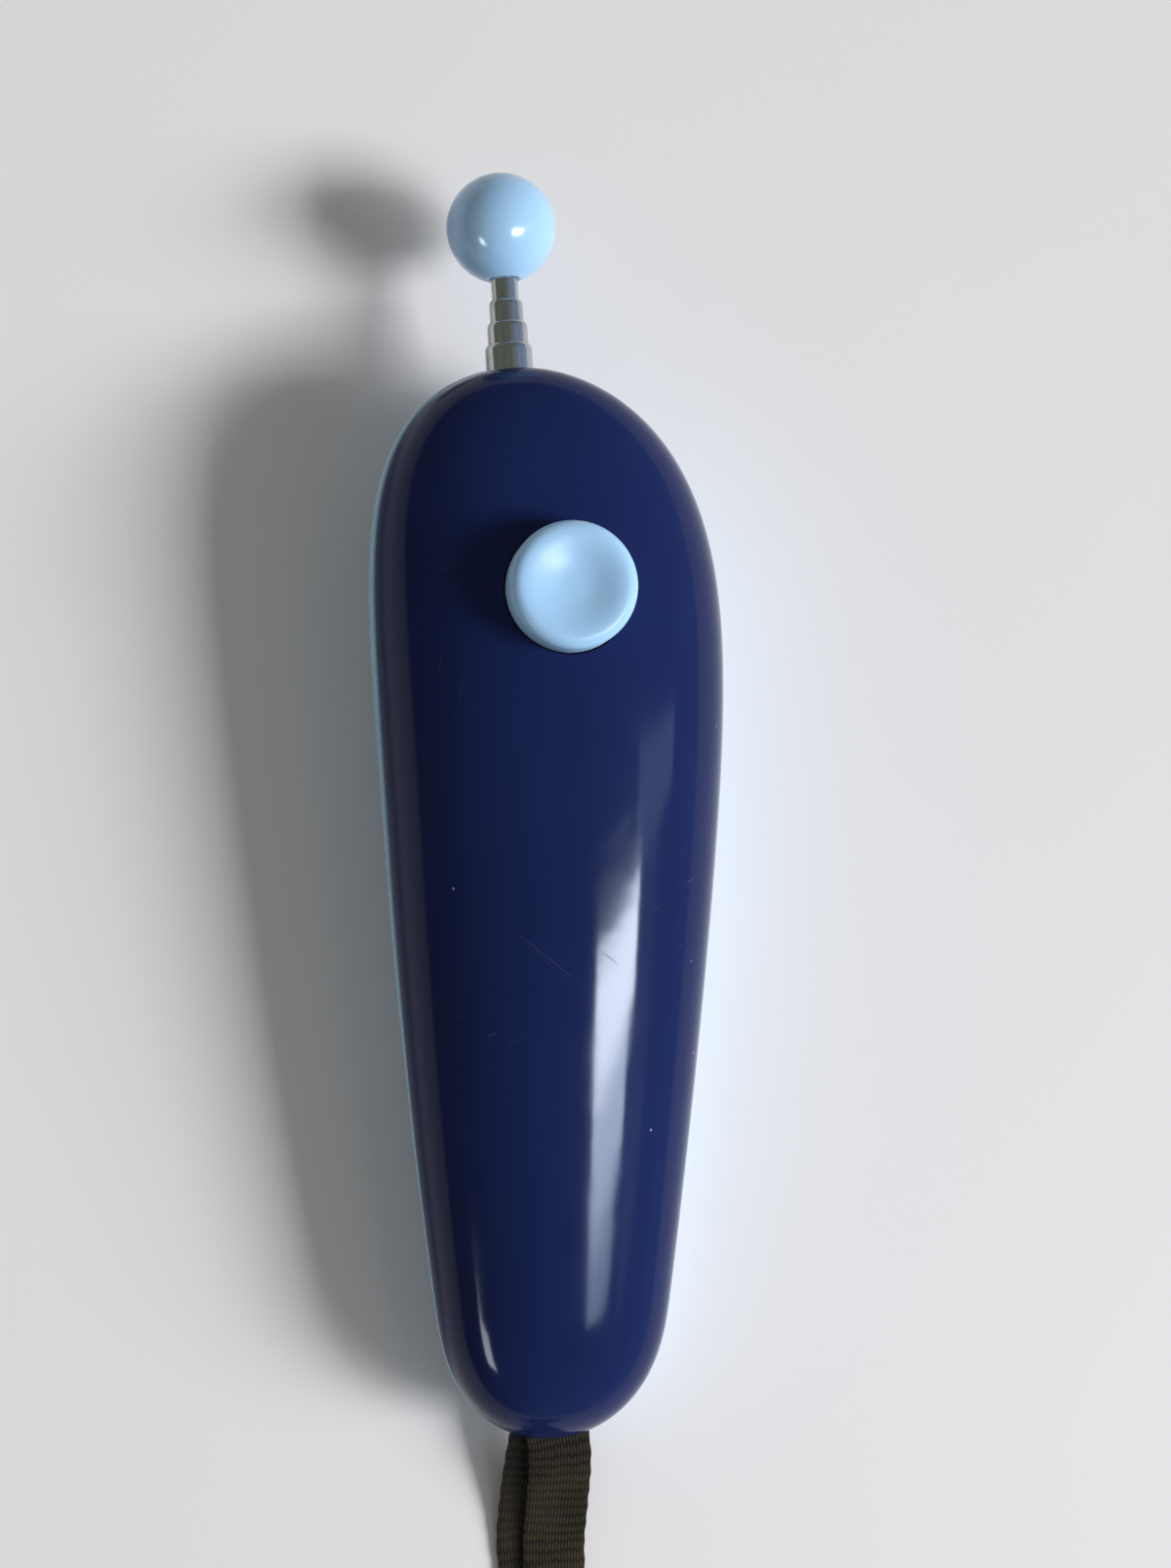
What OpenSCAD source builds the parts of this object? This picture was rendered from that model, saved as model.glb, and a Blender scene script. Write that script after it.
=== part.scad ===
// Hand-held clicker trainer with a telescopic target stick and a wrist strap.
// The stick's axis runs along +Y at x = 0, the handle's tail is at -Y and +Z is up.
// The flat foot of the handle lies on z = 0, and y = 0 is half way from the tail to the tip of the ball.

/* [Casing] */
// Length of the handle from tail to nose
body_len = 109; // [105:1:113]
// Widest width of the handle
body_w = 35.9; // [35:0.1:39]
// Width that the handle's taper runs down to at the tail
tail_w = 19.9; // [19.8:0.1:22]
// Height of the crown above the widest level, at the shoulders
crown_h = 13.7; // [13.4:0.1:14.6]
// Height of the crown above the widest level, at the tail
tail_crown_h = 7.4; // [7.2:0.1:8.6]
// Sideways bow of the handle
belly = 2.2; // [1.6:0.1:2.6]
// Sideways bow of the tail, the other way
tail_bow = 1.8; // [1.2:0.1:2]
// Length over which the tail rounds off
tail_round = 14.5; // [13:0.5:15.5]
// Wall of both casing shells
wall = 1.8; // [1.6:0.1:1.9]
// Height of the widest level at the nose
nose_mid_z = 12.2; // [12:0.1:12.6]
// Height of the widest level at the tail
tail_mid_z = 8.5; // [8.4:0.1:8.8]
// Height of the seam between the shells at the nose
nose_seam_z = 15.4; // [15.2:0.1:15.8]
// Height of the seam between the shells at the tail
tail_seam_z = 7.6; // [7.5:0.1:7.8]
// How far the round underside is cut flat to make the foot
foot_cut = 1.2; // [1:0.1:1.5]
// How far the lower shell stands proud of the upper one along the seam
rim_proud = 0.25; // [0.1:0.05:0.35]
// Height of the lip that locates the two shells
lip_h = 1.1; // [0.8:0.1:1.2]

/* [Stick] */
// Height of the stick's axis
stick_z = 11.2; // [11.1:0.05:11.3]
// Outside diameter of the fixed tube
base_tube_d = 7; // [6.9:0.1:7.1]
// How much thinner each tube is than the one round it
tube_step = 0.7; // [0.68:0.01:0.72]
// Wall of every tube
tube_wall = 0.25; // [0.22:0.01:0.26]
// Distance of the fixed tube's inner end from the tail
tube_back = 14.4; // [14:0.1:16]
// How far each tube stands out of the one round it when it is pushed in
stick_out = 2.35; // [2.2:0.05:2.5]
// Depth of the fixed tube's mouth behind the nose
mouth_depth = 4.8; // [4.6:0.05:5]
// How much further the first tube that shows stands out than the others
first_out = 1; // [0.8:0.1:1.2]
// Length of the rolled-in mouth of each tube
crimp = 0.6; // [0.5:0.05:0.7]
// Length of the friction ring at the inner end of each tube
ring_len = 3; // [2.5:0.1:4]

/* [Ball] */
// Diameter of the target ball
ball_d = 11.3; // [10.7:0.1:11.9]
// Distance from the last rolled mouth to the ball
tip_gap = 1.95; // [1.5:0.05:2.3]
// Depth of the stick's hole in the ball
ball_bore = 6.5; // [6:0.1:7.5]

/* [Button] */
// Diameter of the button's cap
button_d = 12.6; // [12.2:0.1:12.8]
// Distance of the button's axis from the nose
button_back = 23.8; // [23.2:0.1:24.2]
// Sideways distance of the button's axis from the handle's spine
button_side = 0.6; // [0.3:0.1:0.9]
// Height of the cap's rim above the crown
button_out = 3.6; // [3:0.1:4.2]
// How far the button goes down
button_travel = 1.8; // [1.4:0.1:1.8]
// Depth of the thumb dish
dish_depth = 0.9; // [0.6:0.1:1]

/* [Clicker] */
// Length of the steel reed between its ends
reed_len = 24; // [22:0.5:24]
// Width of the reed
reed_w = 9; // [8:0.5:9]
// Thickness of the reed
reed_t = 0.4; // [0.3:0.05:0.4]
// Rise of the reed's bow that the button's stroke leaves unused
reed_spare = 0.3; // [0.3:0.05:0.5]
// Height of the reed's seats
reed_seat_z = 17; // [16.9:0.05:17.1]

/* [Strap] */
// Width of the webbing
strap_w = 6.5; // [6:0.1:7]
// Thickness of the webbing
strap_t = 1; // [0.8:0.05:1]
// Diameter of the pin that the webbing runs round
strap_pin_d = 2.5; // [2.3:0.1:2.5]

/* [Screws] */
// Diameter of the casing screws
screw_d = 2.2; // [2:0.1:2.2]
// Diameter of the screw heads
screw_head_d = 4; // [3.8:0.1:4]
// Height of the screw heads
screw_head_h = 1.4; // [1.2:0.1:1.5]

/* [Hidden] */

FINE = 72;             // sides of the round work
STATIONS = 32;         // sections along a shell
OUTER_SIDES = 26;      // points across a shell's outside
INNER_SIDES = 18;      // points across its inside
CROWN_POWER = 2.3;     // squareness of the section above and below its widest level
KEEL_POWER = 2.6;

seam_gap = 0.05;       // hairline between the shells
lip_gap = 0.1;         // round the locating lip
run_gap = 0.02;        // radial running clearance of the rings and the mouths
fit_gap = 0.02;        // between seated fixed pieces
guide_gap = 0.2;       // radial clearance of the button in its guide
stop_gap = 0.05;       // left at the end of every travel

TUBES = 6;             // moving tubes
FIRST_SHOWN = 3;       // the first of them whose mouth clears the nose
nose_to_tip = (TUBES - 1) * stick_out + first_out - mouth_depth + tip_gap + ball_d;
tail_y = -(body_len + nose_to_tip) / 2;
nose_y = tail_y + body_len;

// --- the handle's form --------------------------------------------------------------

// Share of the widening from tail to shoulders reached at a share s of the length.
function widening(s) = 2.12 * s - 0.99 * s * s;
function nose_cap(s, power) = s <= 0.5 ? 1 : sqrt(max(0, 1 - pow(2 * s - 1, power)));
function tail_cap(s, grow) =
    let (u = 1 - s * (body_len + 2 * grow) / tail_round)
    u <= 0 ? 1 : sqrt(max(0, 1 - pow(u, 3)));
function half_width(s, grow) = (tail_w + (body_w - tail_w) * widening(s)) / 2 + grow;
function crown(s, grow) = tail_crown_h + (crown_h - tail_crown_h) * widening(s) + grow;
function keel(s, grow) = mid_z(s) + foot_cut + grow;
function mid_z(s) = tail_mid_z + (nose_mid_z - tail_mid_z) * s;
function mid_x(s) = belly * sin(180 * pow(s, 2.25)) - tail_bow * pow(1 - s, 3);
function station_y(s, grow) = tail_y - grow + s * (body_len + 2 * grow);
function station_of(y, grow = 0) = (y - tail_y + grow) / (body_len + 2 * grow);
function seam_z(y) = tail_seam_z + (nose_seam_z - tail_seam_z) * (y - tail_y) / body_len;

// Height in the section, over the widest level, of the line from which a shell starts.
function start_rise(s, grow, lift) = seam_z(station_y(s, grow)) + lift - mid_z(s);
function start_angle(s, grow, lift) =
    let (b = start_rise(s, grow, lift))
    b >= 0
        ? asin(pow(min(1, b / crown(s, grow)), CROWN_POWER / 2))
        : -asin(pow(min(1, -b / keel(s, grow)), KEEL_POWER / 2));

// Point of the surface at a share s of the length and an angle round the section.
// The ends close down on to the seam.
function skin(s, angle, grow, lift) =
    let (
        up = sin(angle) >= 0,
        power = up ? CROWN_POWER : KEEL_POWER,
        h = (up ? crown(s, grow) : -keel(s, grow)) * pow(abs(sin(angle)), 2 / power),
        x = half_width(s, grow) * sign(cos(angle)) * pow(abs(cos(angle)), 2 / power),
        y = station_y(s, grow)
    )
    [
        mid_x(s) + nose_cap(s, 5) * tail_cap(s, grow) * x,
        y,
        seam_z(y) + lift + nose_cap(s, up ? 4 : 5) * tail_cap(s, grow) * (h - start_rise(s, grow, lift))
    ];

// Angle at which the underside reaches a floor.
function floor_angle(s, grow, lift, floor_z) =
    let (
        y = station_y(s, grow),
        cap = nose_cap(s, 5) * tail_cap(s, grow),
        drop = (seam_z(y) + lift - floor_z) / cap - start_rise(s, grow, lift)
    )
    -asin(min(0.9999, pow(max(0, drop / keel(s, grow)), KEEL_POWER / 2)));

function share(i) = (1 - cos(180 * (i + 1) / STATIONS)) / 2;

// Rows of points from the right of the seam to its left, over the crown or under the keel.
function crown_rows(sides, grow, lift) = [for (i = [0:STATIONS - 2])
    let (s = share(i), first = start_angle(s, grow, lift))
    [for (j = [0:sides - 1]) skin(s, first + (180 - 2 * first) * j / (sides - 1), grow, lift)]];
function keel_rows(sides, grow, floor_z) = [for (i = [0:STATIONS - 2])
    let (s = share(i), first = start_angle(s, grow, 0), last = floor_angle(s, grow, 0, floor_z), half = sides / 2)
    [for (j = [0:sides - 1])
        let (t = (j < half ? j : sides - 1 - j) / (half - 1), a = first + (last - first) * t)
        skin(s, j < half ? a : 180 - a, grow, 0)]];

// Closed line round the seam at one inset, raised by rise: tail, right side, nose, left side.
function seam_line(grow, lift, rise) =
    let (
        right = [for (i = [0:STATIONS - 2]) let (s = share(i)) skin(s, start_angle(s, grow, lift), grow, lift)],
        left = [for (i = [STATIONS - 2:-1:0]) let (s = share(i)) skin(s, 180 - start_angle(s, grow, lift), grow, lift)]
    )
    [for (p = concat([end_point(0, grow, lift)], right, [end_point(1, grow, lift)], left)) p + [0, 0, rise]];
function end_point(s, grow, lift) = let (y = station_y(s, grow)) [mid_x(s), y, seam_z(y) + lift];

function flat(rows) = [for (row = rows) for (p = row) p];
function turned(faces, flip) = flip ? [for (f = faces) [f[0], f[2], f[1]]] : faces;

// Faces over a grid of rows closed by one point at each end.
function grid_faces(first, sides, tail, nose) =
    let (rows = STATIONS - 1)
    concat(
        [for (i = [0:rows - 2]) for (j = [0:sides - 2])
            [first + i * sides + j, first + (i + 1) * sides + j, first + (i + 1) * sides + j + 1]],
        [for (i = [0:rows - 2]) for (j = [0:sides - 2])
            [first + i * sides + j, first + (i + 1) * sides + j + 1, first + i * sides + j + 1]],
        [for (j = [0:sides - 2]) [tail, first + j, first + j + 1]],
        [for (j = [0:sides - 2]) [nose, first + (rows - 1) * sides + j + 1, first + (rows - 1) * sides + j]]
    );

// Indices of a grid's own seam line.
function grid_line(first, sides, tail, nose) =
    let (rows = STATIONS - 1)
    concat([tail], [for (i = [0:rows - 1]) first + i * sides], [nose],
        [for (i = [rows - 1:-1:0]) first + i * sides + sides - 1]);

function band(a, b) = let (n = len(a)) concat(
    [for (q = [0:n - 1]) [a[q], a[(q + 1) % n], b[(q + 1) % n]]],
    [for (q = [0:n - 1]) [a[q], b[(q + 1) % n], b[q]]]);

// One shell: its outside, its inside and the stepped edge that joins them.
module shell(outside, inside, lines, flip, ends) {
    n_out = len(outside) * len(outside[0]);
    n_in = len(inside) * len(inside[0]);
    line_len = 2 * STATIONS;
    points = concat(flat(outside), flat(inside), ends, flat(lines));
    e = n_out + n_in;
    rings = concat(
        [grid_line(0, len(outside[0]), e, e + 1)],
        [for (k = [0:len(lines) - 1]) [for (q = [0:line_len - 1]) e + 4 + k * line_len + q]],
        [grid_line(n_out, len(inside[0]), e + 2, e + 3)]
    );
    polyhedron(points, concat(
        turned(grid_faces(0, len(outside[0]), e, e + 1), flip),
        turned(grid_faces(n_out, len(inside[0]), e + 2, e + 3), !flip),
        turned([for (k = [0:len(rings) - 2]) each band(rings[k], rings[k + 1])], flip)
    ));
}

// Height of the cover's surface over a point, and the level inside its wall over a round post.
function cover_z(x, y, grow, lift) =
    let (
        s = station_of(y, grow),
        w = half_width(s, grow) * nose_cap(s, 5) * tail_cap(s, grow),
        side = min(0.999, abs(x - mid_x(s)) / w)
    )
    seam_z(y) + lift + nose_cap(s, 4) * tail_cap(s, grow)
        * (crown(s, grow) * pow(1 - pow(side, CROWN_POWER), 1 / CROWN_POWER) - start_rise(s, grow, lift));
function in_cover(x, y, r) = (
    min([for (a = [0:30:330]) cover_z(x + r * cos(a), y + r * sin(a), 0, seam_gap)])
    + max([for (a = [0:30:330]) cover_z(x + r * cos(a), y + r * sin(a), -wall, cover_lift)])) / 2;
cover_lift = seam_gap + lip_h + lip_gap;

// The same for the underside.
function keel_z(x, y, grow) =
    let (
        s = station_of(y, grow),
        w = half_width(s, grow) * nose_cap(s, 5) * tail_cap(s, grow),
        side = min(0.999, abs(x - mid_x(s)) / w)
    )
    seam_z(y) - nose_cap(s, 5) * tail_cap(s, grow)
        * (keel(s, grow) * pow(1 - pow(side, KEEL_POWER), 1 / KEEL_POWER) + start_rise(s, grow, 0));
function in_keel(x, y, r) = (
    max([for (a = [0:30:330]) max(0, keel_z(x + r * cos(a), y + r * sin(a), rim_proud))])
    + min([for (a = [0:30:330]) max(wall, keel_z(x + r * cos(a), y + r * sin(a), -wall))])) / 2;

// --- positions ----------------------------------------------------------------------

button_y = nose_y - button_back;
button_x = mid_x(station_of(button_y)) + button_side;
button_z = cover_z(button_x, button_y, 0, seam_gap) + button_out;
flange_d = button_d + 2;
flange_h = 1;
skirt_rise = 0.85;     // from the stem's foot up to the skirt's
reed_rise = button_travel + reed_spare;
reed_top = reed_seat_z + reed_rise + reed_t;
stem_z = reed_top + fit_gap;
flange_z = stem_z + skirt_rise;
guide_z = flange_z + flange_h + stop_gap;

base_mouth_y = nose_y - mouth_depth;
base_end_y = tail_y + tube_back;
plug_len = 4;
inner_end_y = base_end_y + plug_len + 0.3;
flare_h = 0.06;        // raised rims that keep a ring on its tube
flare_len = 0.45;
bead_len = 0.3;
nose_hole_d = base_tube_d - tube_step + 0.4;
ball_y = nose_y + nose_to_tip - ball_d / 2;

function tube_d(k) = base_tube_d - k * tube_step;
function mouth_y(k) = base_mouth_y + k * stick_out + (k < FIRST_SHOWN ? 0 : first_out);
function tube_end_y(k) = k < TUBES ? mouth_y(k) : ball_y - ball_d / 2 + ball_bore - 1.1;

stop_t = 1.2;          // walls that hold the reed's ends
frame_half = reed_len / 2 + fit_gap + stop_t;
frame_side = 1.6;      // frame beyond the reed's edge
frame_left = -6.8;
frame_right = button_x + reed_w / 2 + frame_side;
leg_w = 2;
leg_spread = 7;
pad_r = 1.9;
pad_top = 5.4;
function frame_feet() = [for (x = [frame_left + leg_w / 2, frame_right - leg_w / 2]) for (side = [-1, 1])
    [x, button_y + side * leg_spread]];

post_r = 1.9;
boss_r = 2.9;
boss_top = 6.4;
head_seat_z = 4.2;
screw_len = 9;
head_gap = 0.2;        // round a screw's head in its pocket
post_gap = 2.2;        // between a front post and the clicker's frame
tail_screw_back = 17;
tail_screw_y = tail_y + tail_screw_back;
front_screw_y = button_y - frame_half - boss_r - post_gap;
tail_screw_x = mid_x(station_of(tail_screw_y));
front_screw_x = mid_x(station_of(front_screw_y));
tail_screw_side = 6.2;
front_screw_side = 9.4;
CASE_SCREWS = [
    for (side = [1, -1]) [tail_screw_x + side * tail_screw_side, tail_screw_y],
    for (side = [1, -1]) [front_screw_x + side * front_screw_side, front_screw_y]];

stop_disc_t = 1.2;     // end of the anchor's plug outside the tube
anchor_boss_r = 2.4;
anchor_y = base_end_y - stop_disc_t - anchor_boss_r - 0.3;
lug_t = 2.4;
lug_w = 5.2;
lug_z = stick_z - lug_t / 2;

saddle_w = 9;
SADDLES = [[tail_y + 26, 1.6], [tail_y + 56, 1.6], [nose_y - 13, 1.4]];
KEEPERS = [tail_y + 40, tail_y + 60];
keeper_w = 5;
keeper_t = 1.6;

tail_x = mid_x(0);
strap_pin_y = tail_y + 4.4;
strap_pin_z = 5.35;
strap_pin_len = 12;
ear_x = strap_w / 2 + 0.8;
ear_t = 1.6;
wrap_r = (strap_pin_d + strap_t) / 2 + 0.15;
slot_h = 3.6;
slot_side = 1.3;       // slot beyond each edge of the webbing
wrap_gap = 0.15;       // round the webbing where it turns

module along_stick(y) {
    translate([0, y, stick_z])
        rotate([-90, 0, 0])
            children();
}

module disc(d, h) { cylinder(d = d, h = h, $fn = FINE); }

// --- casing -------------------------------------------------------------------------

module bottom_shell() {
    shell(
        keel_rows(OUTER_SIDES, rim_proud, 0),
        keel_rows(INNER_SIDES, -wall, wall),
        [seam_line(-wall / 2, 0, 0), seam_line(-wall / 2, 0, lip_h), seam_line(-wall, 0, lip_h)],
        true,
        [end_point(0, rim_proud, 0), end_point(1, rim_proud, 0), end_point(0, -wall, 0), end_point(1, -wall, 0)]
    );
}

module saddle(y, w, t) {
    foot_z = in_keel(0, y, w / 2);
    difference() {
        translate([-w / 2, y - t / 2, foot_z])
            cube([w, t, stick_z - foot_z]);
        along_stick(y - t)
            disc(base_tube_d + 2 * fit_gap, 2 * t);
    }
}

// Round pillar standing in the bottom casing's wall.
module pillar(x, y, r, top) {
    foot_z = in_keel(x, y, r);
    translate([x, y, foot_z])
        disc(2 * r, top - foot_z);
}

module bottom_casing() {
    color("lightskyblue")
    difference() {
        union() {
            bottom_shell();
            for (p = CASE_SCREWS)
                pillar(p[0], p[1], boss_r, boss_top);
            pillar(0, anchor_y, anchor_boss_r, lug_z - fit_gap);
            for (p = frame_feet())
                pillar(p[0], p[1], pad_r, pad_top);
            for (p = SADDLES)
                saddle(p[0], saddle_w, p[1]);
            for (side = [-1, 1])
                translate([tail_x + side * (ear_x + ear_t / 2) - ear_t / 2, strap_pin_y - 1.8, wall * 0.9])
                    cube([ear_t, 3.6, seam_z(strap_pin_y) - 0.1 - wall * 0.9]);
        }
        for (p = CASE_SCREWS) {
            translate([p[0], p[1], -1])
                disc(screw_head_d + 2 * head_gap, head_seat_z + 1);
            translate([p[0], p[1], 0])
                disc(screw_d + 0.3, boss_top + 1);
        }
        translate([0, anchor_y, wall])
            disc(screw_d + 2 * fit_gap, lug_z);
        along_stick(nose_y - 5)
            disc(nose_hole_d, 10);
        translate([tail_x - strap_pin_len / 2 - 0.1, strap_pin_y, strap_pin_z])
            rotate([0, 90, 0])
                disc(strap_pin_d + 2 * fit_gap, strap_pin_len + 0.2);
        translate([tail_x - strap_w / 2 - slot_side, tail_y - 2, strap_pin_z - slot_h / 2])
            cube([strap_w + 2 * slot_side, 4, slot_h]);
        translate([tail_x - ear_x, strap_pin_y - 2.5, strap_pin_z - wrap_r - strap_t / 2 - wrap_gap])
            cube([2 * ear_x, 6, 2 * (wrap_r + strap_t / 2 + wrap_gap)]);
        for (i = [-2:2])
            translate([button_x + i * 2.4 - 0.6, button_y - 4.5, -1])
                cube([1.2, 9, wall + 2]);
    }
}

module top_cover() {
    guide_r = button_d / 2 + guide_gap;
    guide_out = guide_r + 1.5;
    keeper_z = stick_z + base_tube_d / 2 + fit_gap;
    color("midnightblue")
    difference() {
        union() {
            shell(
                crown_rows(OUTER_SIDES, 0, seam_gap),
                crown_rows(INNER_SIDES, -wall, cover_lift),
                [seam_line(lip_gap - wall / 2, seam_gap, 0), seam_line(lip_gap - wall / 2, seam_gap, cover_lift - seam_gap)],
                false,
                [end_point(0, 0, seam_gap), end_point(1, 0, seam_gap), end_point(0, -wall, cover_lift), end_point(1, -wall, cover_lift)]
            );
            for (p = CASE_SCREWS)
                translate([p[0], p[1], boss_top + fit_gap])
                    disc(2 * post_r, in_cover(p[0], p[1], post_r) - boss_top - fit_gap);
            translate([button_x, button_y, guide_z])
                disc(2 * guide_out, in_cover(button_x, button_y, guide_out) - guide_z);
            for (y = KEEPERS)
                translate([-keeper_w / 2, y - keeper_t / 2, keeper_z])
                    cube([keeper_w, keeper_t, in_cover(0, y, keeper_w / 2) - keeper_z]);
        }
        translate([button_x, button_y, guide_z - 5])
            disc(2 * guide_r, 30);
        for (p = CASE_SCREWS)
            translate([p[0], p[1], boss_top - 1])
                disc(screw_d + 2 * fit_gap, screw_len - 2);
    }
}

module screw(len) {
    difference() {
        union() {
            disc(screw_head_d, screw_head_h);
            disc(screw_d, len);
        }
        for (a = [0, 90])
            rotate([0, 0, a])
                translate([-screw_head_d * 0.3, -0.25, -1])
                    cube([screw_head_d * 0.6, 0.5, 1.7]);
    }
}

module case_screws() {
    color("silver")
    for (p = CASE_SCREWS)
        translate([p[0], p[1], head_seat_z - screw_head_h - fit_gap])
            screw(screw_len);
}

// --- clicker ------------------------------------------------------------------------

module button_cap() {
    r = button_d / 2;
    edge = 1;
    dish_r = r - 1.2;
    sphere_r = (dish_r * dish_r + dish_depth * dish_depth) / (2 * dish_depth);
    roof = button_z - dish_depth - 1.5;
    color("lightskyblue")
    translate([button_x, button_y, 0])
        rotate_extrude($fn = FINE)
            polygon(concat(
                [for (i = [0:8]) let (x = dish_r * i / 8)
                    [x, button_z - dish_depth + sphere_r - sqrt(sphere_r * sphere_r - x * x)]],
                [for (i = [1:6]) [r - edge + edge * sin(15 * i), button_z - edge + edge * cos(15 * i)]],
                [
                    [r, flange_z + flange_h], [flange_d / 2, flange_z + flange_h], [flange_d / 2, flange_z],
                    [r - 1.4, flange_z], [r - 1.4, roof], [2.4, roof], [2.4, stem_z], [0, stem_z]
                ]
            ));
}

// The reed is bowed up between two flat feet and has a dimple struck in its middle.
module click_reed() {
    foot_len = 2;
    half = reed_len / 2 - foot_len;
    bow_r = (half * half + reed_rise * reed_rise) / (2 * reed_rise);
    color("silver")
    translate([button_x, button_y, reed_seat_z])
        difference() {
            union() {
                intersection() {
                    translate([-reed_w / 2, 0, reed_rise - bow_r])
                        rotate([0, 90, 0])
                            difference() {
                                cylinder(r = bow_r + reed_t, h = reed_w, $fn = FINE);
                                translate([0, 0, -1])
                                    cylinder(r = bow_r, h = reed_w + 2, $fn = FINE);
                            }
                    translate([-reed_w, -half - 0.1, 0])
                        cube([2 * reed_w, 2 * half + 0.2, reed_rise + reed_t + 1]);
                }
                for (side = [-1, 1])
                    translate([-reed_w / 2, side * (half + foot_len / 2) - foot_len / 2, 0])
                        cube([reed_w, foot_len, reed_t]);
            }
            translate([0, 0, reed_rise + reed_t + 7.8])
                sphere(r = 8, $fn = FINE);
        }
}

// Bridge over the stick that carries the reed.
module clicker_frame() {
    top_t = 1.2;
    y_half = frame_half;
    left = frame_left;
    right = frame_right;
    color("darkslategray")
    difference() {
        union() {
            translate([left, button_y - y_half, reed_seat_z - top_t])
                cube([right - left, 2 * y_half, top_t]);
            for (side = [-1, 1])
                translate([left, button_y + side * (y_half - stop_t / 2) - stop_t / 2, reed_seat_z])
                    cube([right - left, stop_t, 0.9]);
            for (p = frame_feet())
                translate([p[0] - leg_w / 2, p[1] - 1.5, pad_top + fit_gap])
                    cube([leg_w, 3, reed_seat_z - top_t / 2 - pad_top - fit_gap]);
        }
        translate([button_x - 3, button_y - 6, 0])
            cube([6, 12, 30]);
    }
}

// --- stick --------------------------------------------------------------------------

// Tube k from its inner end to its rolled mouth.
module stick_tube(k, from_y, flared) {
    r = tube_d(k) / 2;
    len = tube_end_y(k) - from_y;
    bore = r - tube_wall;
    lip = tube_d(k + 1) / 2 + run_gap;
    mouthed = k < TUBES;
    ring = [[r + flare_h, 0], [r + flare_h, flare_len - 0.1], [r, flare_len]];
    bead = flare_len + fit_gap * 2 + ring_len;
    along_stick(from_y)
        rotate_extrude($fn = FINE)
            polygon(concat(
                flared ? concat(ring, [[r, bead], [r + flare_h, bead + 0.05], [r + flare_h, bead + bead_len - 0.05],
                    [r, bead + bead_len]]) : [[r, 0]],
                mouthed
                    ? concat(
                        [for (a = [0:15:90]) [r - (r - lip - 0.06) * (1 - cos(a)), len - crimp + crimp * sin(a)]],
                        [[lip, len], [lip, len - crimp + 0.15], [bore, len - crimp]])
                    : [[r, len], [bore, len]],
                [[bore, 0]]
            ));
}

module base_tube() { color("lightgray") stick_tube(0, base_end_y, false); }

// Split spring sleeve that rubs in the next tube and holds the stick where it is drawn out.
module friction_ring(k) {
    inner = tube_d(k);
    outer = tube_d(k - 1) - 2 * tube_wall - 2 * run_gap;
    color("goldenrod")
    along_stick(inner_end_y + flare_len + fit_gap)
        difference() {
            disc(outer, ring_len);
            translate([0, 0, -1])
                disc(inner, ring_len + 2);
            translate([-0.3, -outer, -1])
                cube([0.6, outer, ring_len + 2]);
        }
}

module moving_tube(k) { color("lightgray") stick_tube(k, inner_end_y, true); }

module tube_anchor() {
    r = base_tube_d / 2;
    color("goldenrod")
    difference() {
        union() {
            along_stick(base_end_y)
                disc(2 * (r - tube_wall), plug_len);
            along_stick(base_end_y - stop_disc_t)
                disc(2 * r, stop_disc_t);
            translate([-lug_w / 2, anchor_y - lug_w / 2, lug_z])
                cube([lug_w, base_end_y - 1 - anchor_y + lug_w / 2, lug_t]);
        }
        translate([0, anchor_y, 0])
            disc(screw_d + 0.3, 30);
    }
}

module anchor_screw() {
    color("silver")
    translate([0, anchor_y, lug_z + lug_t + fit_gap + screw_head_h])
        rotate([180, 0, 0])
            screw(screw_len);
}

module tip_stud() {
    color("goldenrod")
    along_stick(tube_end_y(TUBES) - 6)
        union() {
            disc(tube_d(TUBES) - 2 * tube_wall, 6.5);
            translate([0, 0, 6])
                disc(tube_d(TUBES), 1);
        }
}

module target_ball() {
    color("lightskyblue")
    difference() {
        translate([0, ball_y, stick_z])
            sphere(d = ball_d, $fn = FINE);
        along_stick(ball_y - ball_d / 2 - 1)
            disc(tube_d(TUBES) + 2 * fit_gap, ball_bore + 1);
        along_stick(ball_y - ball_d / 2 - 0.01)
            cylinder(d1 = tube_d(TUBES) + 1.8, d2 = tube_d(TUBES), h = 0.9, $fn = FINE);
    }
}

// --- strap --------------------------------------------------------------------------

// Distance sideways, distance behind the tail, height, then the lean of the webbing's outer face from
// straight up and the way it faces in plan. The loop runs from the front of the pin over the upper run
// to the far end, where it stands on its edge, and back by the lower run.
STRAP_UPPER = [
    [0.1, -1.8, 6.35, 0, 0], [0.7, 0.4, 6.1, 0, 0], [0.8, 3.5, 5.3, 0, 0], [0.5, 8, 3.1, 0, 0],
    [0.1, 12.5, 1.66, 0, 0], [0, 18, 1.75, 2, 0], [0.3, 25, 2.9, 24, 0], [0.6, 33, 3.8, 52, 0], [0.7, 41, 3.85, 76, 0],
    [0.9, 49, 3.35, 90, 0], [3, 61, 3.35, 90, -14], [7.6, 75, 3.35, 90, -17], [11.6, 90, 3.35, 90, -8],
    [12.2, 105, 3.35, 90, 12], [9, 118, 3.35, 90, 42], [3, 125.5, 3.35, 90, 72]];
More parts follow.
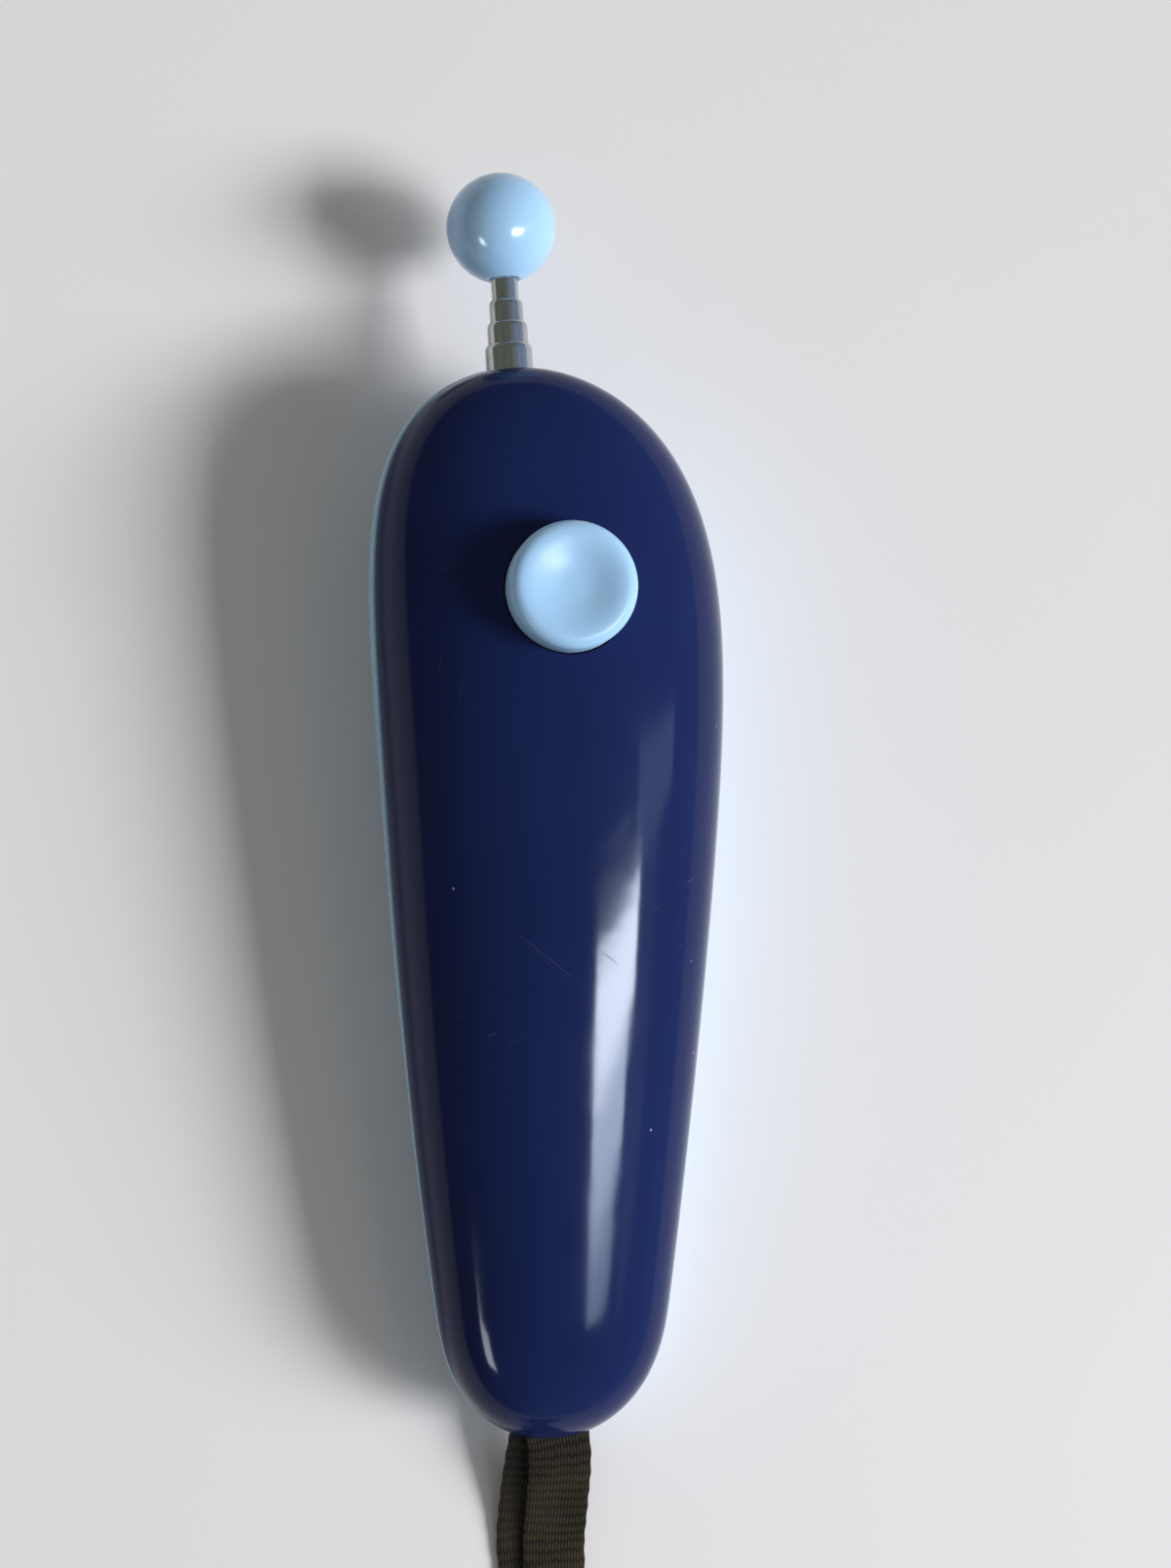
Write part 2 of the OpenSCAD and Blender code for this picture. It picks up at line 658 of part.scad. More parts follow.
STRAP_LOWER = [
    [-4, 126.5, 3.35, 90, 102], [-10.5, 121, 3.35, 90, 132], [-14.6, 109, 3.35, 90, 162], [-14.6, 94, 3.35, 90, 184],
    [-11, 78, 3.35, 90, 196], [-5.4, 63, 3.35, 90, 197], [-0.9, 49, 3.35, 90, 186], [-0.6, 41, 3.45, 104, 180],
    [-0.5, 33, 3.05, 128, 180], [-1.2, 25, 1.9, 156, 180], [-2.1, 18, 0.65, 178, 180],
    [-2.5, 12.5, 0.53, 180, 180], [-2.1, 8, 1.5, 180, 180], [-1.5, 3.5, 3.4, 180, 180],
    [-0.9, 0.4, 4.6, 180, 180], [-0.1, -1.8, 4.35, 180, 180]];
PIN_TURN = [for (a = [-105:30:105]) a];
STRAP_STEPS = 3;

function outer_face(lean, facing) = [sin(lean) * cos(facing), -sin(lean) * sin(facing), cos(lean)];
function strap_row(r) = concat([tail_x + r[0], tail_y - r[1], r[2]], outer_face(r[3], r[4]));
function strap_keys() = concat(
    [for (r = STRAP_UPPER) strap_row(r)],
    [for (r = STRAP_LOWER) strap_row(r)],
    [for (a = PIN_TURN) [tail_x, strap_pin_y + wrap_r * cos(a), strap_pin_z + wrap_r * sin(a), 0, cos(a), sin(a)]]);
function blend(a, b, c, d, t) =
    0.5 * (2 * b + (c - a) * t + (2 * a - 5 * b + 4 * c - d) * t * t + (3 * b - a - 3 * c + d) * t * t * t);
function head3(v) = [v[0], v[1], v[2]];
function tail3(v) = [v[3], v[4], v[5]];
function unit(v) = v / norm(v);

module wrist_strap() {
    keys = strap_keys();
    n = len(keys);
    rows = [for (i = [0:n - 1]) for (k = [0:STRAP_STEPS - 1])
        blend(keys[(i + n - 1) % n], keys[i], keys[(i + 1) % n], keys[(i + 2) % n], k / STRAP_STEPS)];
    m = len(rows);
    points = [for (i = [0:m - 1])
        let (
            p = head3(rows[i]),
            along = unit(head3(rows[(i + 1) % m]) - head3(rows[(i + m - 1) % m])),
            across = unit(cross(along, tail3(rows[i]))),
            out = cross(across, along)
        )
        each [for (c = [[-1, -1], [1, -1], [1, 1], [-1, 1]]) p + across * c[0] * strap_w / 2 + out * c[1] * strap_t / 2]];
    color("saddlebrown")
    polyhedron(points, [for (i = [0:m - 1]) for (c = [0:3]) for (f = [0, 1])
        let (a = i * 4 + c, b = i * 4 + (c + 1) % 4, d = ((i + 1) % m) * 4 + c, e = ((i + 1) % m) * 4 + (c + 1) % 4)
        f == 0 ? [a, e, b] : [a, d, e]]);
}

module strap_pin() {
    color("silver")
    translate([tail_x - strap_pin_len / 2, strap_pin_y, strap_pin_z])
        rotate([0, 90, 0])
            disc(strap_pin_d, strap_pin_len);
}

bottom_casing();
top_cover();
case_screws();
button_cap();
click_reed();
clicker_frame();
base_tube();
tube_anchor();
anchor_screw();
moving_tube(1);  // tube_1
moving_tube(2);  // tube_2
moving_tube(3);  // tube_3
moving_tube(4);  // tube_4
moving_tube(5);  // tube_5
moving_tube(6);  // tube_6
friction_ring(1);  // ring_1
friction_ring(2);  // ring_2
friction_ring(3);  // ring_3
friction_ring(4);  // ring_4
friction_ring(5);  // ring_5
friction_ring(6);  // ring_6
tip_stud();
target_ball();
strap_pin();
wrist_strap();
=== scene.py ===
"""Looks of a hand-held clicker trainer: a two-shell handle with a thumb button, a telescopic target stick
that ends in a ball, and a webbing wrist strap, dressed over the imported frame."""

import logging
import math
from dataclasses import dataclass
from enum import Enum

import bmesh
import bpy
import numpy as np
from mathutils import Matrix, Vector


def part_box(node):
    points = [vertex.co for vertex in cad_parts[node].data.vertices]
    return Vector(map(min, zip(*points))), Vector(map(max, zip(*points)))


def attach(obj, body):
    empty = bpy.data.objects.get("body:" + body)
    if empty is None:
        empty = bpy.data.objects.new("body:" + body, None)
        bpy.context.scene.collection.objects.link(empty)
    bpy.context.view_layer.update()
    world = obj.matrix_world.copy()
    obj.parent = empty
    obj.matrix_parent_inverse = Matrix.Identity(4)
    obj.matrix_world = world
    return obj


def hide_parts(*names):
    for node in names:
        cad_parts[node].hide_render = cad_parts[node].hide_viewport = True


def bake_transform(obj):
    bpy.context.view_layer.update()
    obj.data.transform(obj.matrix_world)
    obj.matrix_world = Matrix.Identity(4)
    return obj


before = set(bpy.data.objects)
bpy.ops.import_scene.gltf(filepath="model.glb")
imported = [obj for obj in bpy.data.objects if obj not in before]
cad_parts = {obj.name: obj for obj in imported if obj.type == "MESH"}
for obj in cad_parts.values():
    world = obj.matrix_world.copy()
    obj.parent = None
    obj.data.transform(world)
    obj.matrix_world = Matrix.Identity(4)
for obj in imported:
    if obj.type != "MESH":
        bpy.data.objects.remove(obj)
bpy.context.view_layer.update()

LOG = logging.getLogger("clicker_trainer")
MM = 0.001
# Height of the camera's view, in pixels.
VIEW_H = 1607
# Points closer than this are one, and a face thinner than this goes, in metres.
MERGE_DIST, THIN_DIST = 1e-7, 1e-8
# Least number that something is divided by.
TINY = 1e-6
# Where soft noise turns from one tone to the other.
SOFT_EDGE = (0.3, 0.7)
# Steps round a small hole, a turned piece and a piece seen close.
FEW_SIDES, SIDES, MANY_SIDES = 48, 96, 128


class Slot(Enum):
    """The record's material slots."""

    NAVY = "navy"
    LIGHT_BLUE = "light_blue"
    CHROME = "chrome"
    STEEL = "steel"
    BRASS = "brass"
    BLACK_PLASTIC = "black_plastic"
    WEBBING = "webbing"


class Axis(Enum):
    """The direction that a turned piece's axis runs along."""

    STICK = "y"
    UPRIGHT = "z"


class Change(Enum):
    """What a tool does to the piece it meets."""

    JOIN = "UNION"
    CUT = "DIFFERENCE"


class Half(Enum):
    """A moulded half of the handle, by the way that it goes from the seam."""

    UPPER = 1
    LOWER = -1


# --- meshes -----------------------------------------------------------------------------


def grid_faces(rows: int, cols: int, wrap_rows: bool, wrap_cols: bool) -> np.ndarray:
    """Four-sided faces over a grid of points.

    Args:
        rows: Number of rows of points.
        cols: Number of points in a row.
        wrap_rows: Whether the last row joins the first.
        wrap_cols: Whether each row is closed.

    Returns:
        An array of corner indices, four to a face.
    """
    i = np.arange(rows if wrap_rows else rows - 1)[:, None]
    j = np.arange(cols if wrap_cols else cols - 1)[None, :]
    i2, j2 = (i + 1) % rows, (j + 1) % cols
    corners = [i * cols + j, i * cols + j2, i2 * cols + j2, i2 * cols + j]
    return np.stack([np.broadcast_to(c, (i.size, j.size)) for c in corners], -1).reshape(-1, 4)


def make_object(name: str, points: np.ndarray, faces: list, outward: bool = True) -> bpy.types.Object:
    """Builds a smooth-shaded object from points in millimetres.

    Args:
        name: The object's name.
        points: An array of points, three numbers each.
        faces: Lists of corner indices.
        outward: Whether doubled points are merged and the faces turned to point out of the closed surface.

    Returns:
        The object, at the origin, with its place in its mesh.
    """
    mesh = bpy.data.meshes.new(name)
    mesh.from_pydata((np.asarray(points, float) * MM).tolist(), [], faces)
    obj = bpy.data.objects.new(name, mesh)
    bpy.context.scene.collection.objects.link(obj)
    if outward:
        turn_outward(obj)
    return obj


def turn_outward(obj: bpy.types.Object, merge: bool = True) -> None:
    """Turns every face of a closed mesh outward.

    Args:
        obj: The piece.
        merge: Whether doubled points are merged and thin faces go first.
    """
    bm = bmesh.new()
    bm.from_mesh(obj.data)
    if merge:
        bmesh.ops.remove_doubles(bm, verts=bm.verts, dist=MERGE_DIST)
        bmesh.ops.dissolve_degenerate(bm, edges=bm.edges, dist=THIN_DIST)
    bmesh.ops.recalc_face_normals(bm, faces=bm.faces)
    bm.to_mesh(obj.data)
    bm.free()


def shade(obj: bpy.types.Object, sharp_degrees: float) -> None:
    """Shades a mesh smooth, with an edge sharp where its faces meet at more than an angle."""
    obj.data.shade_smooth()
    obj.data.set_sharp_from_angle(angle=math.radians(sharp_degrees))


def revolve(
        name: str, profile: np.ndarray, axis: Axis, centre: tuple, sides: int = SIDES, sharp: float = 32.0,
) -> bpy.types.Object:
    """Turns a closed profile round an axis.

    A profile point (r, h) at an angle a lies at r cos a and r sin a across the axis and h along it.

    Args:
        name: The object's name.
        profile: Rows of radius and height in millimetres, in order round the section.
        axis: The direction of the axis.
        centre: The point where the height is zero, in millimetres.
        sides: Number of steps round the axis.
        sharp: Angle in degrees from which an edge is sharp.

    Returns:
        The turned object.
    """
    turn = np.linspace(0, 2 * np.pi, sides, endpoint=False)[:, None]
    r, h = profile[None, :, 0], profile[None, :, 1]
    across, up, along = r * np.cos(turn), r * np.sin(turn), h + 0 * turn
    order = [across, along, up] if axis is Axis.STICK else [across, up, along]
    points = np.stack(order, -1).reshape(-1, 3) + np.array(centre, float)
    obj = make_object(name, points, grid_faces(sides, len(profile), True, True).tolist())
    shade(obj, sharp)
    return obj


def rounded_block(
        name: str, low: tuple, high: tuple, round_by: float, along: Axis, corner_points: int = 7,
) -> bpy.types.Object:
    """A block with rounded upright or lengthwise edges, for cutting slots.

    Each corner is a quarter circle at the half size less its radius from the middle.

    Args:
        name: The object's name.
        low: Its lowest corner in millimetres.
        high: Its highest corner.
        round_by: Radius of the four rounded edges.
        along: The axis that they run along.
        corner_points: Number of points round a corner.

    Returns:
        The block.
    """
    low_v, high_v = np.array(low, float), np.array(high, float)
    depth = 2 if along is Axis.UPRIGHT else 1
    side = [k for k in (0, 1, 2) if k != depth]
    turn = np.linspace(0, np.pi / 2, corner_points)
    half = (high_v - low_v)[side] / 2 - round_by
    corners = []
    for quarter, (sign_x, sign_y) in enumerate(((1, 1), (-1, 1), (-1, -1), (1, -1))):
        a = turn + quarter * np.pi / 2
        corners.append(np.stack(
            [sign_x * half[0] + round_by * np.cos(a), sign_y * half[1] + round_by * np.sin(a)], -1))
    ring = np.concatenate(corners) + (low_v + high_v)[side] / 2
    points = np.zeros((2, len(ring), 3))
    points[:, :, side] = ring
    points[0, :, depth], points[1, :, depth] = low_v[depth], high_v[depth]
    n = len(ring)
    faces = grid_faces(2, n, False, True).tolist() + [list(range(n)), list(range(n, 2 * n))[::-1]]
    return make_object(name, points.reshape(-1, 3), faces)


def cylinder_profile(r: float, low: float, high: float) -> np.ndarray:
    """The closed profile of a plain cylinder."""
    return np.array([[0, low], [r, low], [r, high], [0, high]], float)


def node_box(node: str) -> tuple:
    """The lowest and the highest corner of a CAD node, in millimetres."""
    low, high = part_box(node)
    return np.array(low, float) / MM, np.array(high, float) / MM


def boolean(obj: bpy.types.Object, tools: list, change: Change) -> None:
    """Joins closed tools to a closed mesh or cuts them out of it, one by one, and removes the tools.

    Args:
        obj: The piece.
        tools: The closed shapes.
        change: What they do to it.
    """
    for tool in tools:
        step = obj.modifiers.new(change.name, "BOOLEAN")
        step.operation = change.value
        step.solver = "MANIFOLD" if change is Change.CUT else "EXACT"
        step.object = tool
        graph = bpy.context.evaluated_depsgraph_get()
        result = bpy.data.meshes.new_from_object(obj.evaluated_get(graph))
        obj.modifiers.clear()
        old = obj.data
        obj.data = result
        bpy.data.meshes.remove(old)
        bpy.data.objects.remove(tool)


def settle(obj: bpy.types.Object, body: str, slot: Slot, material: bpy.types.Material, *nodes: str) -> None:
    """Gives a finished piece its material and its place in the frame.

    Args:
        obj: The piece.
        body: The CAD body that it rides on.
        slot: The record's material slot; not used.
        material: The finish.
        *nodes: The CAD nodes that it stands for.
    """
    obj.data.materials.clear()
    obj.data.materials.append(material)
    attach(obj, body)
    if nodes:
        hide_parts(*nodes)
    LOG.info("%s: %d faces, rides on %s", obj.name, len(obj.data.polygons), body)


# --- finishes ---------------------------------------------------------------------------


class Graph:
    """A material's or a world's node tree, with short calls to add and join nodes."""

    def __init__(self, tree: bpy.types.NodeTree) -> None:
        """Empties the tree and keeps it."""
        self.tree = tree
        tree.nodes.clear()

    def add(self, kind: str, settings: dict | None = None, **inputs: object) -> bpy.types.Node:
        """Adds a node.

        Args:
            kind: The node's type.
            settings: Its properties.
            **inputs: Its sockets by name, with underscores for spaces. A socket is linked, a value is set.

        Returns:
            The node.
        """
        node = self.tree.nodes.new(kind)
        for key, value in (settings or {}).items():
            setattr(node, key, value)
        for key, value in inputs.items():
            self.put(node, key.replace("_", " "), value)
        return node

    def put(self, node: bpy.types.Node, key: str | int, value: object) -> None:
        """Links a socket to a node's input, or sets its value.

        Args:
            node: The node.
            key: The input's name or number, or # and its number.
            value: The socket or the value.
        """
        target = node.inputs[int(key[1:])] if isinstance(key, str) and key[:1] == "#" else node.inputs[key]
        if isinstance(value, bpy.types.NodeSocket):
            self.tree.links.new(value, target)
        else:
            target.default_value = value

    def math(
            self, operation: str, a: object, b: object = 0.0, c: object = 0.0, clamp: bool = False,
    ) -> bpy.types.NodeSocket:
        """Reckons with a Math node.

        Args:
            operation: What it does.
            a: Its first value.
            b: Its second value.
            c: Its third value.
            clamp: Whether the result is held between 0 and 1.

        Returns:
            The result.
        """
        node = self.add("ShaderNodeMath", {"operation": operation, "use_clamp": clamp})
        for k, value in enumerate((a, b, c)):
            self.put(node, f"#{k}", value)
        return node.outputs[0]

    def span(
            self, value: object, low: float, high: float, to_low: float = 0.0, to_high: float = 1.0,
    ) -> bpy.types.NodeSocket:
        """Maps a value smoothly from one range to another and holds it there.

        Args:
            value: The value.
            low: Where the first range starts.
            high: Where it ends.
            to_low: What its start becomes.
            to_high: What its end becomes.

        Returns:
            The mapped value.
        """
        node = self.add(
            "ShaderNodeMapRange", {"interpolation_type": "SMOOTHSTEP"},
            Value=value, From_Min=low, From_Max=high, To_Min=to_low, To_Max=to_high,
        )
        return node.outputs[0]

    def blend(self, factor: object, a: object, b: object) -> bpy.types.NodeSocket:
        """Mixes two colours.

        Args:
            factor: Share of the second.
            a: The first, as a socket or three numbers.
            b: The second.

        Returns:
            The colour between them.
        """
        node = self.add("ShaderNodeMix", {"data_type": "RGBA"})
        self.put(node, "#0", factor)
        for key, value in (("#6", a), ("#7", b)):
            self.put(node, key, value if isinstance(value, bpy.types.NodeSocket) else (*value, 1.0))
        return node.outputs[2]

    def noise(
            self, where: object, scale: float, detail: float = 3.0, roughness: float = 0.5,
    ) -> bpy.types.NodeSocket:
        """Noise from about 0 to 1 at a point."""
        node = self.add("ShaderNodeTexNoise", Vector=where, Scale=scale, Detail=detail, Roughness=roughness)
        return node.outputs["Fac"]

    def place(self, where: object, scale: tuple, turn: tuple = (0.0, 0.0, 0.0)) -> bpy.types.NodeSocket:
        """A point turned, then scaled by axis."""
        turned = self.add("ShaderNodeMapping", Vector=where, Rotation=turn)
        return self.add("ShaderNodeMapping", Vector=turned.outputs[0], Scale=scale).outputs[0]

    def bump(
            self, height: object, strength: float, distance: float, normal: object = None,
    ) -> bpy.types.NodeSocket:
        """Tilts the surface's normal after a height.

        Args:
            height: The height, from 0 to 1.
            strength: How far the normal follows it.
            distance: What a height of 1 is, in metres.
            normal: The normal to start from.

        Returns:
            The tilted normal.
        """
        node = self.add("ShaderNodeBump", Height=height, Strength=strength, Distance=distance)
        if normal is not None:
            self.put(node, "Normal", normal)
        return node.outputs[0]


def new_material(name: str) -> tuple:
    """Makes a material with an empty node tree.

    Args:
        name: The material's name.

    Returns:
        The material, its graph, and the point in the piece's own frame in metres.
    """
    material = bpy.data.materials.new(name)
    material.use_nodes = True
    graph = Graph(material.node_tree)
    here = graph.add("ShaderNodeTexCoord").outputs["Object"]
    return material, graph, here


def finish_surface(graph: Graph, **inputs: object) -> None:
    """Ends a material in a Principled shader with the given inputs."""
    shader = graph.add("ShaderNodeBsdfPrincipled", **inputs)
    graph.add("ShaderNodeOutputMaterial", Surface=shader.outputs[0])


def vary(colour: tuple, factor: float) -> tuple:
    """A colour made lighter or darker by a factor, with no channel over 1."""
    return tuple(min(1.0, channel * factor) for channel in colour)


@dataclass(frozen=True)
class GlossPlastic:
    """Moulded gloss plastic with faint scratches, specks of dust and finger marks.

    Pattern scales are per metre, and depths and distances are in metres.
    """

    name: str
    colour: tuple
    roughness: float
    speck_colour: tuple
    speck_share: float
    subsurface: float
    scratch_depth: float
    shine: float
    scatter_depth: float = 0.001
    scatter_tint: tuple = (0.6, 0.8, 1.0)
    scratch_turns: tuple = (0.25, 1.15, 2.3)
    scratch_scale: tuple = (5200, 42, 600)
    scratch_crest: tuple = (0.735, 0.80)
    scratch_patch: tuple = (0.52, 0.68)
    patch_tilt: float = 0.3
    patch_scale: float = 62.0
    speck_scale: float = 210.0
    speck_edge: tuple = (0.022, 0.036)
    most_specks: float = 0.35
    speck_cover: float = 0.8
    cloud_scale: float = 38.0
    cloud_tones: tuple = (0.93, 1.06)
    smear_scale: float = 150.0
    smear_stretch: tuple = (1, 0.45, 1)
    smear_turn: tuple = (0, 0, 0.5)
    smear_edge: tuple = (0.42, 0.7)
    smear_rough: float = 0.04
    scratch_rough: float = 0.25
    scratch_cover: float = 0.10
    peel_scale: float = 420.0
    peel: tuple = (0.10, 0.00006)
    nick: tuple = (0.12, 0.00003)
    ior: float = 1.5

    def scratches(self, graph: Graph, here: bpy.types.NodeSocket) -> bpy.types.NodeSocket:
        """Thin straight marks in three directions, from 0 to 1.

        Noise that is stretched along a direction has long thin ridges. Only their crests are kept, in
        patches.

        Args:
            graph: The material's graph.
            here: The point.

        Returns:
            How deep the marks are.
        """
        total = None
        for k, turn in enumerate(self.scratch_turns):
            lines = graph.noise(graph.place(here, self.scratch_scale, (0, 0, turn)), scale=1.0, detail=1.0)
            crest = graph.span(lines, *self.scratch_crest)
            turned = graph.place(here, (1, 1, 1), (self.patch_tilt * k, 0, 1.0 + k))
            patch = graph.span(graph.noise(turned, self.patch_scale, detail=1), *self.scratch_patch)
            mark = graph.math("MULTIPLY", crest, patch)
            total = mark if total is None else graph.math("MAXIMUM", total, mark)
        return total

    def specks(self, graph: Graph, here: bpy.types.NodeSocket) -> bpy.types.NodeSocket:
        """Small round specks in some of the cells round scattered points.

        Args:
            graph: The material's graph.
            here: The point.

        Returns:
            How much of a speck is there, from 0 to 1.
        """
        cells = graph.add("ShaderNodeTexVoronoi", Vector=here, Scale=self.speck_scale, Randomness=1.0)
        near = graph.span(cells.outputs["Distance"], *self.speck_edge, 1.0, 0.0)
        pick = graph.add("ShaderNodeSeparateColor", Color=cells.outputs["Color"]).outputs[0]
        chosen = graph.math("GREATER_THAN", pick, 1.0 - self.most_specks * self.speck_share)
        return graph.math("MULTIPLY", near, chosen)

    def build(self) -> bpy.types.Material:
        """Lays scratches, specks and smears over the coloured plastic.

        Returns:
            The material.
        """
        material, graph, here = new_material(self.name)
        scratch, speck = self.scratches(graph, here), self.specks(graph, here)
        cloud = graph.span(graph.noise(here, self.cloud_scale, detail=2), *SOFT_EDGE)
        wiped = graph.place(here, self.smear_stretch, self.smear_turn)
        smear = graph.span(graph.noise(wiped, self.smear_scale, detail=4, roughness=0.6), *self.smear_edge)
        tone = graph.blend(cloud, *(vary(self.colour, factor) for factor in self.cloud_tones))
        dull = graph.math("MULTIPLY", scratch, self.scratch_cover * self.scratch_depth)
        dull = graph.math("MULTIPLY_ADD", speck, self.speck_cover, dull)
        colour = graph.blend(graph.math("MINIMUM", dull, 1.0), tone, self.speck_colour)
        rough = graph.math("MULTIPLY_ADD", smear, self.smear_rough, self.roughness)
        rough = graph.math("MULTIPLY_ADD", scratch, self.scratch_rough * self.scratch_depth, rough)
        peel = graph.bump(graph.noise(here, self.peel_scale, detail=1), *self.peel)
        nick = graph.bump(scratch, self.nick[0] * self.scratch_depth, self.nick[1], peel)
        finish_surface(
            graph, Base_Color=colour, Roughness=rough, Normal=nick, IOR=self.ior,
            Specular_IOR_Level=self.shine, Subsurface_Weight=self.subsurface,
            Subsurface_Radius=self.scatter_tint, Subsurface_Scale=self.scatter_depth,
        )
        return material


@dataclass(frozen=True)
class DrawnMetal:
    """Bright metal drawn along an axis, with fine lines and dull patches."""

    name: str
    colour: tuple
    roughness: float
    line_scale: tuple
    line_strength: float
    line_height: float = 0.00002
    tarnish: tuple = (0.30, 0.27, 0.20)
    tarnish_share: float = 0.3
    tarnish_scale: float = 260.0
    tarnish_edge: tuple = (0.48, 0.72)
    rough_spread: float = 0.10

    def build(self) -> bpy.types.Material:
        """Draws fine lines along the metal and dulls it in patches.

        Returns:
            The material.
        """
        material, graph, here = new_material(self.name)
        lines = graph.noise(graph.place(here, self.line_scale), scale=1.0, roughness=0.6)
        patch = graph.span(graph.noise(here, self.tarnish_scale, roughness=0.6), *self.tarnish_edge)
        film = graph.math("MULTIPLY", patch, self.tarnish_share)
        colour = graph.blend(film, self.colour, self.tarnish)
        spread = self.rough_spread
        rough = graph.math("MULTIPLY_ADD", lines, spread, self.roughness - spread / 2)
        rough = graph.math("MULTIPLY_ADD", patch, spread, rough)
        normal = graph.bump(lines, self.line_strength, self.line_height)
        finish_surface(graph, Base_Color=colour, Metallic=1.0, Roughness=rough, Normal=normal)
        return material


@dataclass(frozen=True)
class MattePlastic:
    """Matte moulded plastic with a fine spark-eroded grain."""

    name: str
    colour: tuple
    roughness: float
    grain_scale: float = 2600.0
    grain: tuple = (0.2, 0.00004)
    cloud_scale: float = 120.0
    cloud_tones: tuple = (0.85, 1.15)
    rough_spread: float = 0.12

    def build(self) -> bpy.types.Material:
        """Gives the plastic its grain and a slight cloudiness.

        Returns:
            The material.
        """
        material, graph, here = new_material(self.name)
        grain = graph.noise(here, self.grain_scale, detail=2)
        cloud = graph.span(graph.noise(here, self.cloud_scale), *SOFT_EDGE)
        colour = graph.blend(cloud, *(vary(self.colour, factor) for factor in self.cloud_tones))
        rough = graph.math("MULTIPLY_ADD", cloud, self.rough_spread, self.roughness)
        finish_surface(graph, Base_Color=colour, Roughness=rough, Normal=graph.bump(grain, *self.grain))
        return material


@dataclass(frozen=True)
class RibbedWebbing:
    """Tight warp-faced webbing: lengthwise ribs whose yarns float over the crosswise yarns, each rib's a
    little further on than its neighbour's. Lengths are in metres."""

    name: str
    dark: tuple
    light: tuple
    rib_pitch: float = 0.00033
    float_length: float = 0.00105
    float_shift: float = 0.24
    wander: float = 0.0009
    wander_across: float = 0.08
    wander_scale: float = 420.0
    rib_power: float = 0.6
    float_power: float = 0.5
    fibre_scale: tuple = (5000, 30000, 1)
    fibre_height: float = 0.18
    # Where on a yarn's height the painted highlight of its crown starts, and how far it lightens the tone.
    crown_from: float = 0.5
    crown_highlight: float = 0.75
    wear_scale: float = 190.0
    wear_edge: tuple = (0.35, 0.7)
    wear_light: float = 0.35
    relief: tuple = (0.9, 0.00011)
    roughness: float = 0.72
    sheen: float = 0.04
    sheen_roughness: float = 0.45
    shine: float = 0.16

    def build(self) -> bpy.types.Material:
        """Weaves the ribs over a UV map that holds metres along and across the webbing.

        A yarn's height is the sine across its rib to a power, times the sine along its float to another,
        and a little noise drawn out along the yarn for its fibres. The higher part of each yarn takes the
        light tone as a painted highlight, and the grooves keep the dark tone as painted shade; patches of wear
        lighten it too.

        Returns:
            The material.
        """
        material, graph, here = new_material(self.name)
        uv = graph.add("ShaderNodeUVMap", {"uv_map": "weave"}).outputs[0]
        drift = graph.noise(here, self.wander_scale, detail=2)
        wander = graph.math("MULTIPLY_ADD", drift, self.wander, -self.wander / 2)
        parts = graph.add("ShaderNodeSeparateXYZ", Vector=uv)
        along = graph.math("ADD", parts.outputs[0], wander)
        across = graph.math("ADD", parts.outputs[1], graph.math("MULTIPLY", wander, self.wander_across))
        rib = graph.math("DIVIDE", across, self.rib_pitch)
        count = graph.math("FLOOR", rib)
        rib_wave = graph.math("SINE", graph.math("MULTIPLY", graph.math("FRACT", rib), math.pi))
        odd = graph.math("FRACT", graph.math("MULTIPLY", count, 0.5))
        shift = graph.math("MULTIPLY", odd, self.float_shift)
        turn = graph.math("ADD", graph.math("DIVIDE", along, self.float_length), shift)
        float_wave = graph.math("SINE", graph.math("MULTIPLY", graph.math("FRACT", turn), math.pi))
        rib_round = graph.math("POWER", rib_wave, self.rib_power)
        float_round = graph.math("POWER", float_wave, self.float_power)
        yarn = graph.math("MULTIPLY", rib_round, float_round)
        fibre = graph.noise(graph.place(uv, self.fibre_scale), scale=1.0, detail=2)
        height = graph.math("MULTIPLY_ADD", fibre, self.fibre_height, yarn)
        wear = graph.span(graph.noise(here, self.wear_scale), *self.wear_edge, 0.0, self.wear_light)
        # Painted highlight on the yarns' crowns and painted shade in the grooves, with real patches of wear.
        crown = graph.span(yarn, self.crown_from, 1.0, 0.0, self.crown_highlight)
        crown = graph.math("ADD", crown, wear, clamp=True)
        colour = graph.blend(crown, self.dark, self.light)
        finish_surface(
            graph, Base_Color=colour, Roughness=self.roughness, Normal=graph.bump(height, *self.relief),
            Sheen_Weight=self.sheen, Sheen_Roughness=self.sheen_roughness, Specular_IOR_Level=self.shine,
        )
        return material


@dataclass(frozen=True)
class Tabletop:
    """Pale laminate, nearly even, with a faint cloudiness."""

    name: str
    colour: tuple
    roughness: float = 0.55
    cloud_scale: float = 9.0
    cloud_tones: tuple = (0.975, 1.025)
    grain_scale: float = 1500.0
    grain: tuple = (0.05, 0.0001)
    shine: float = 0.3

    def build(self) -> bpy.types.Material:
        """Gives the laminate its faint cloudiness and grain.

        Returns:
            The material.
        """
        material, graph, here = new_material(self.name)
        cloud = graph.noise(here, self.cloud_scale)
        colour = graph.blend(cloud, *(vary(self.colour, factor) for factor in self.cloud_tones))
        grain = graph.bump(graph.noise(here, self.grain_scale, detail=2), *self.grain)
        finish_surface(
            graph, Base_Color=colour, Roughness=self.roughness, Normal=grain, Specular_IOR_Level=self.shine)
        return material


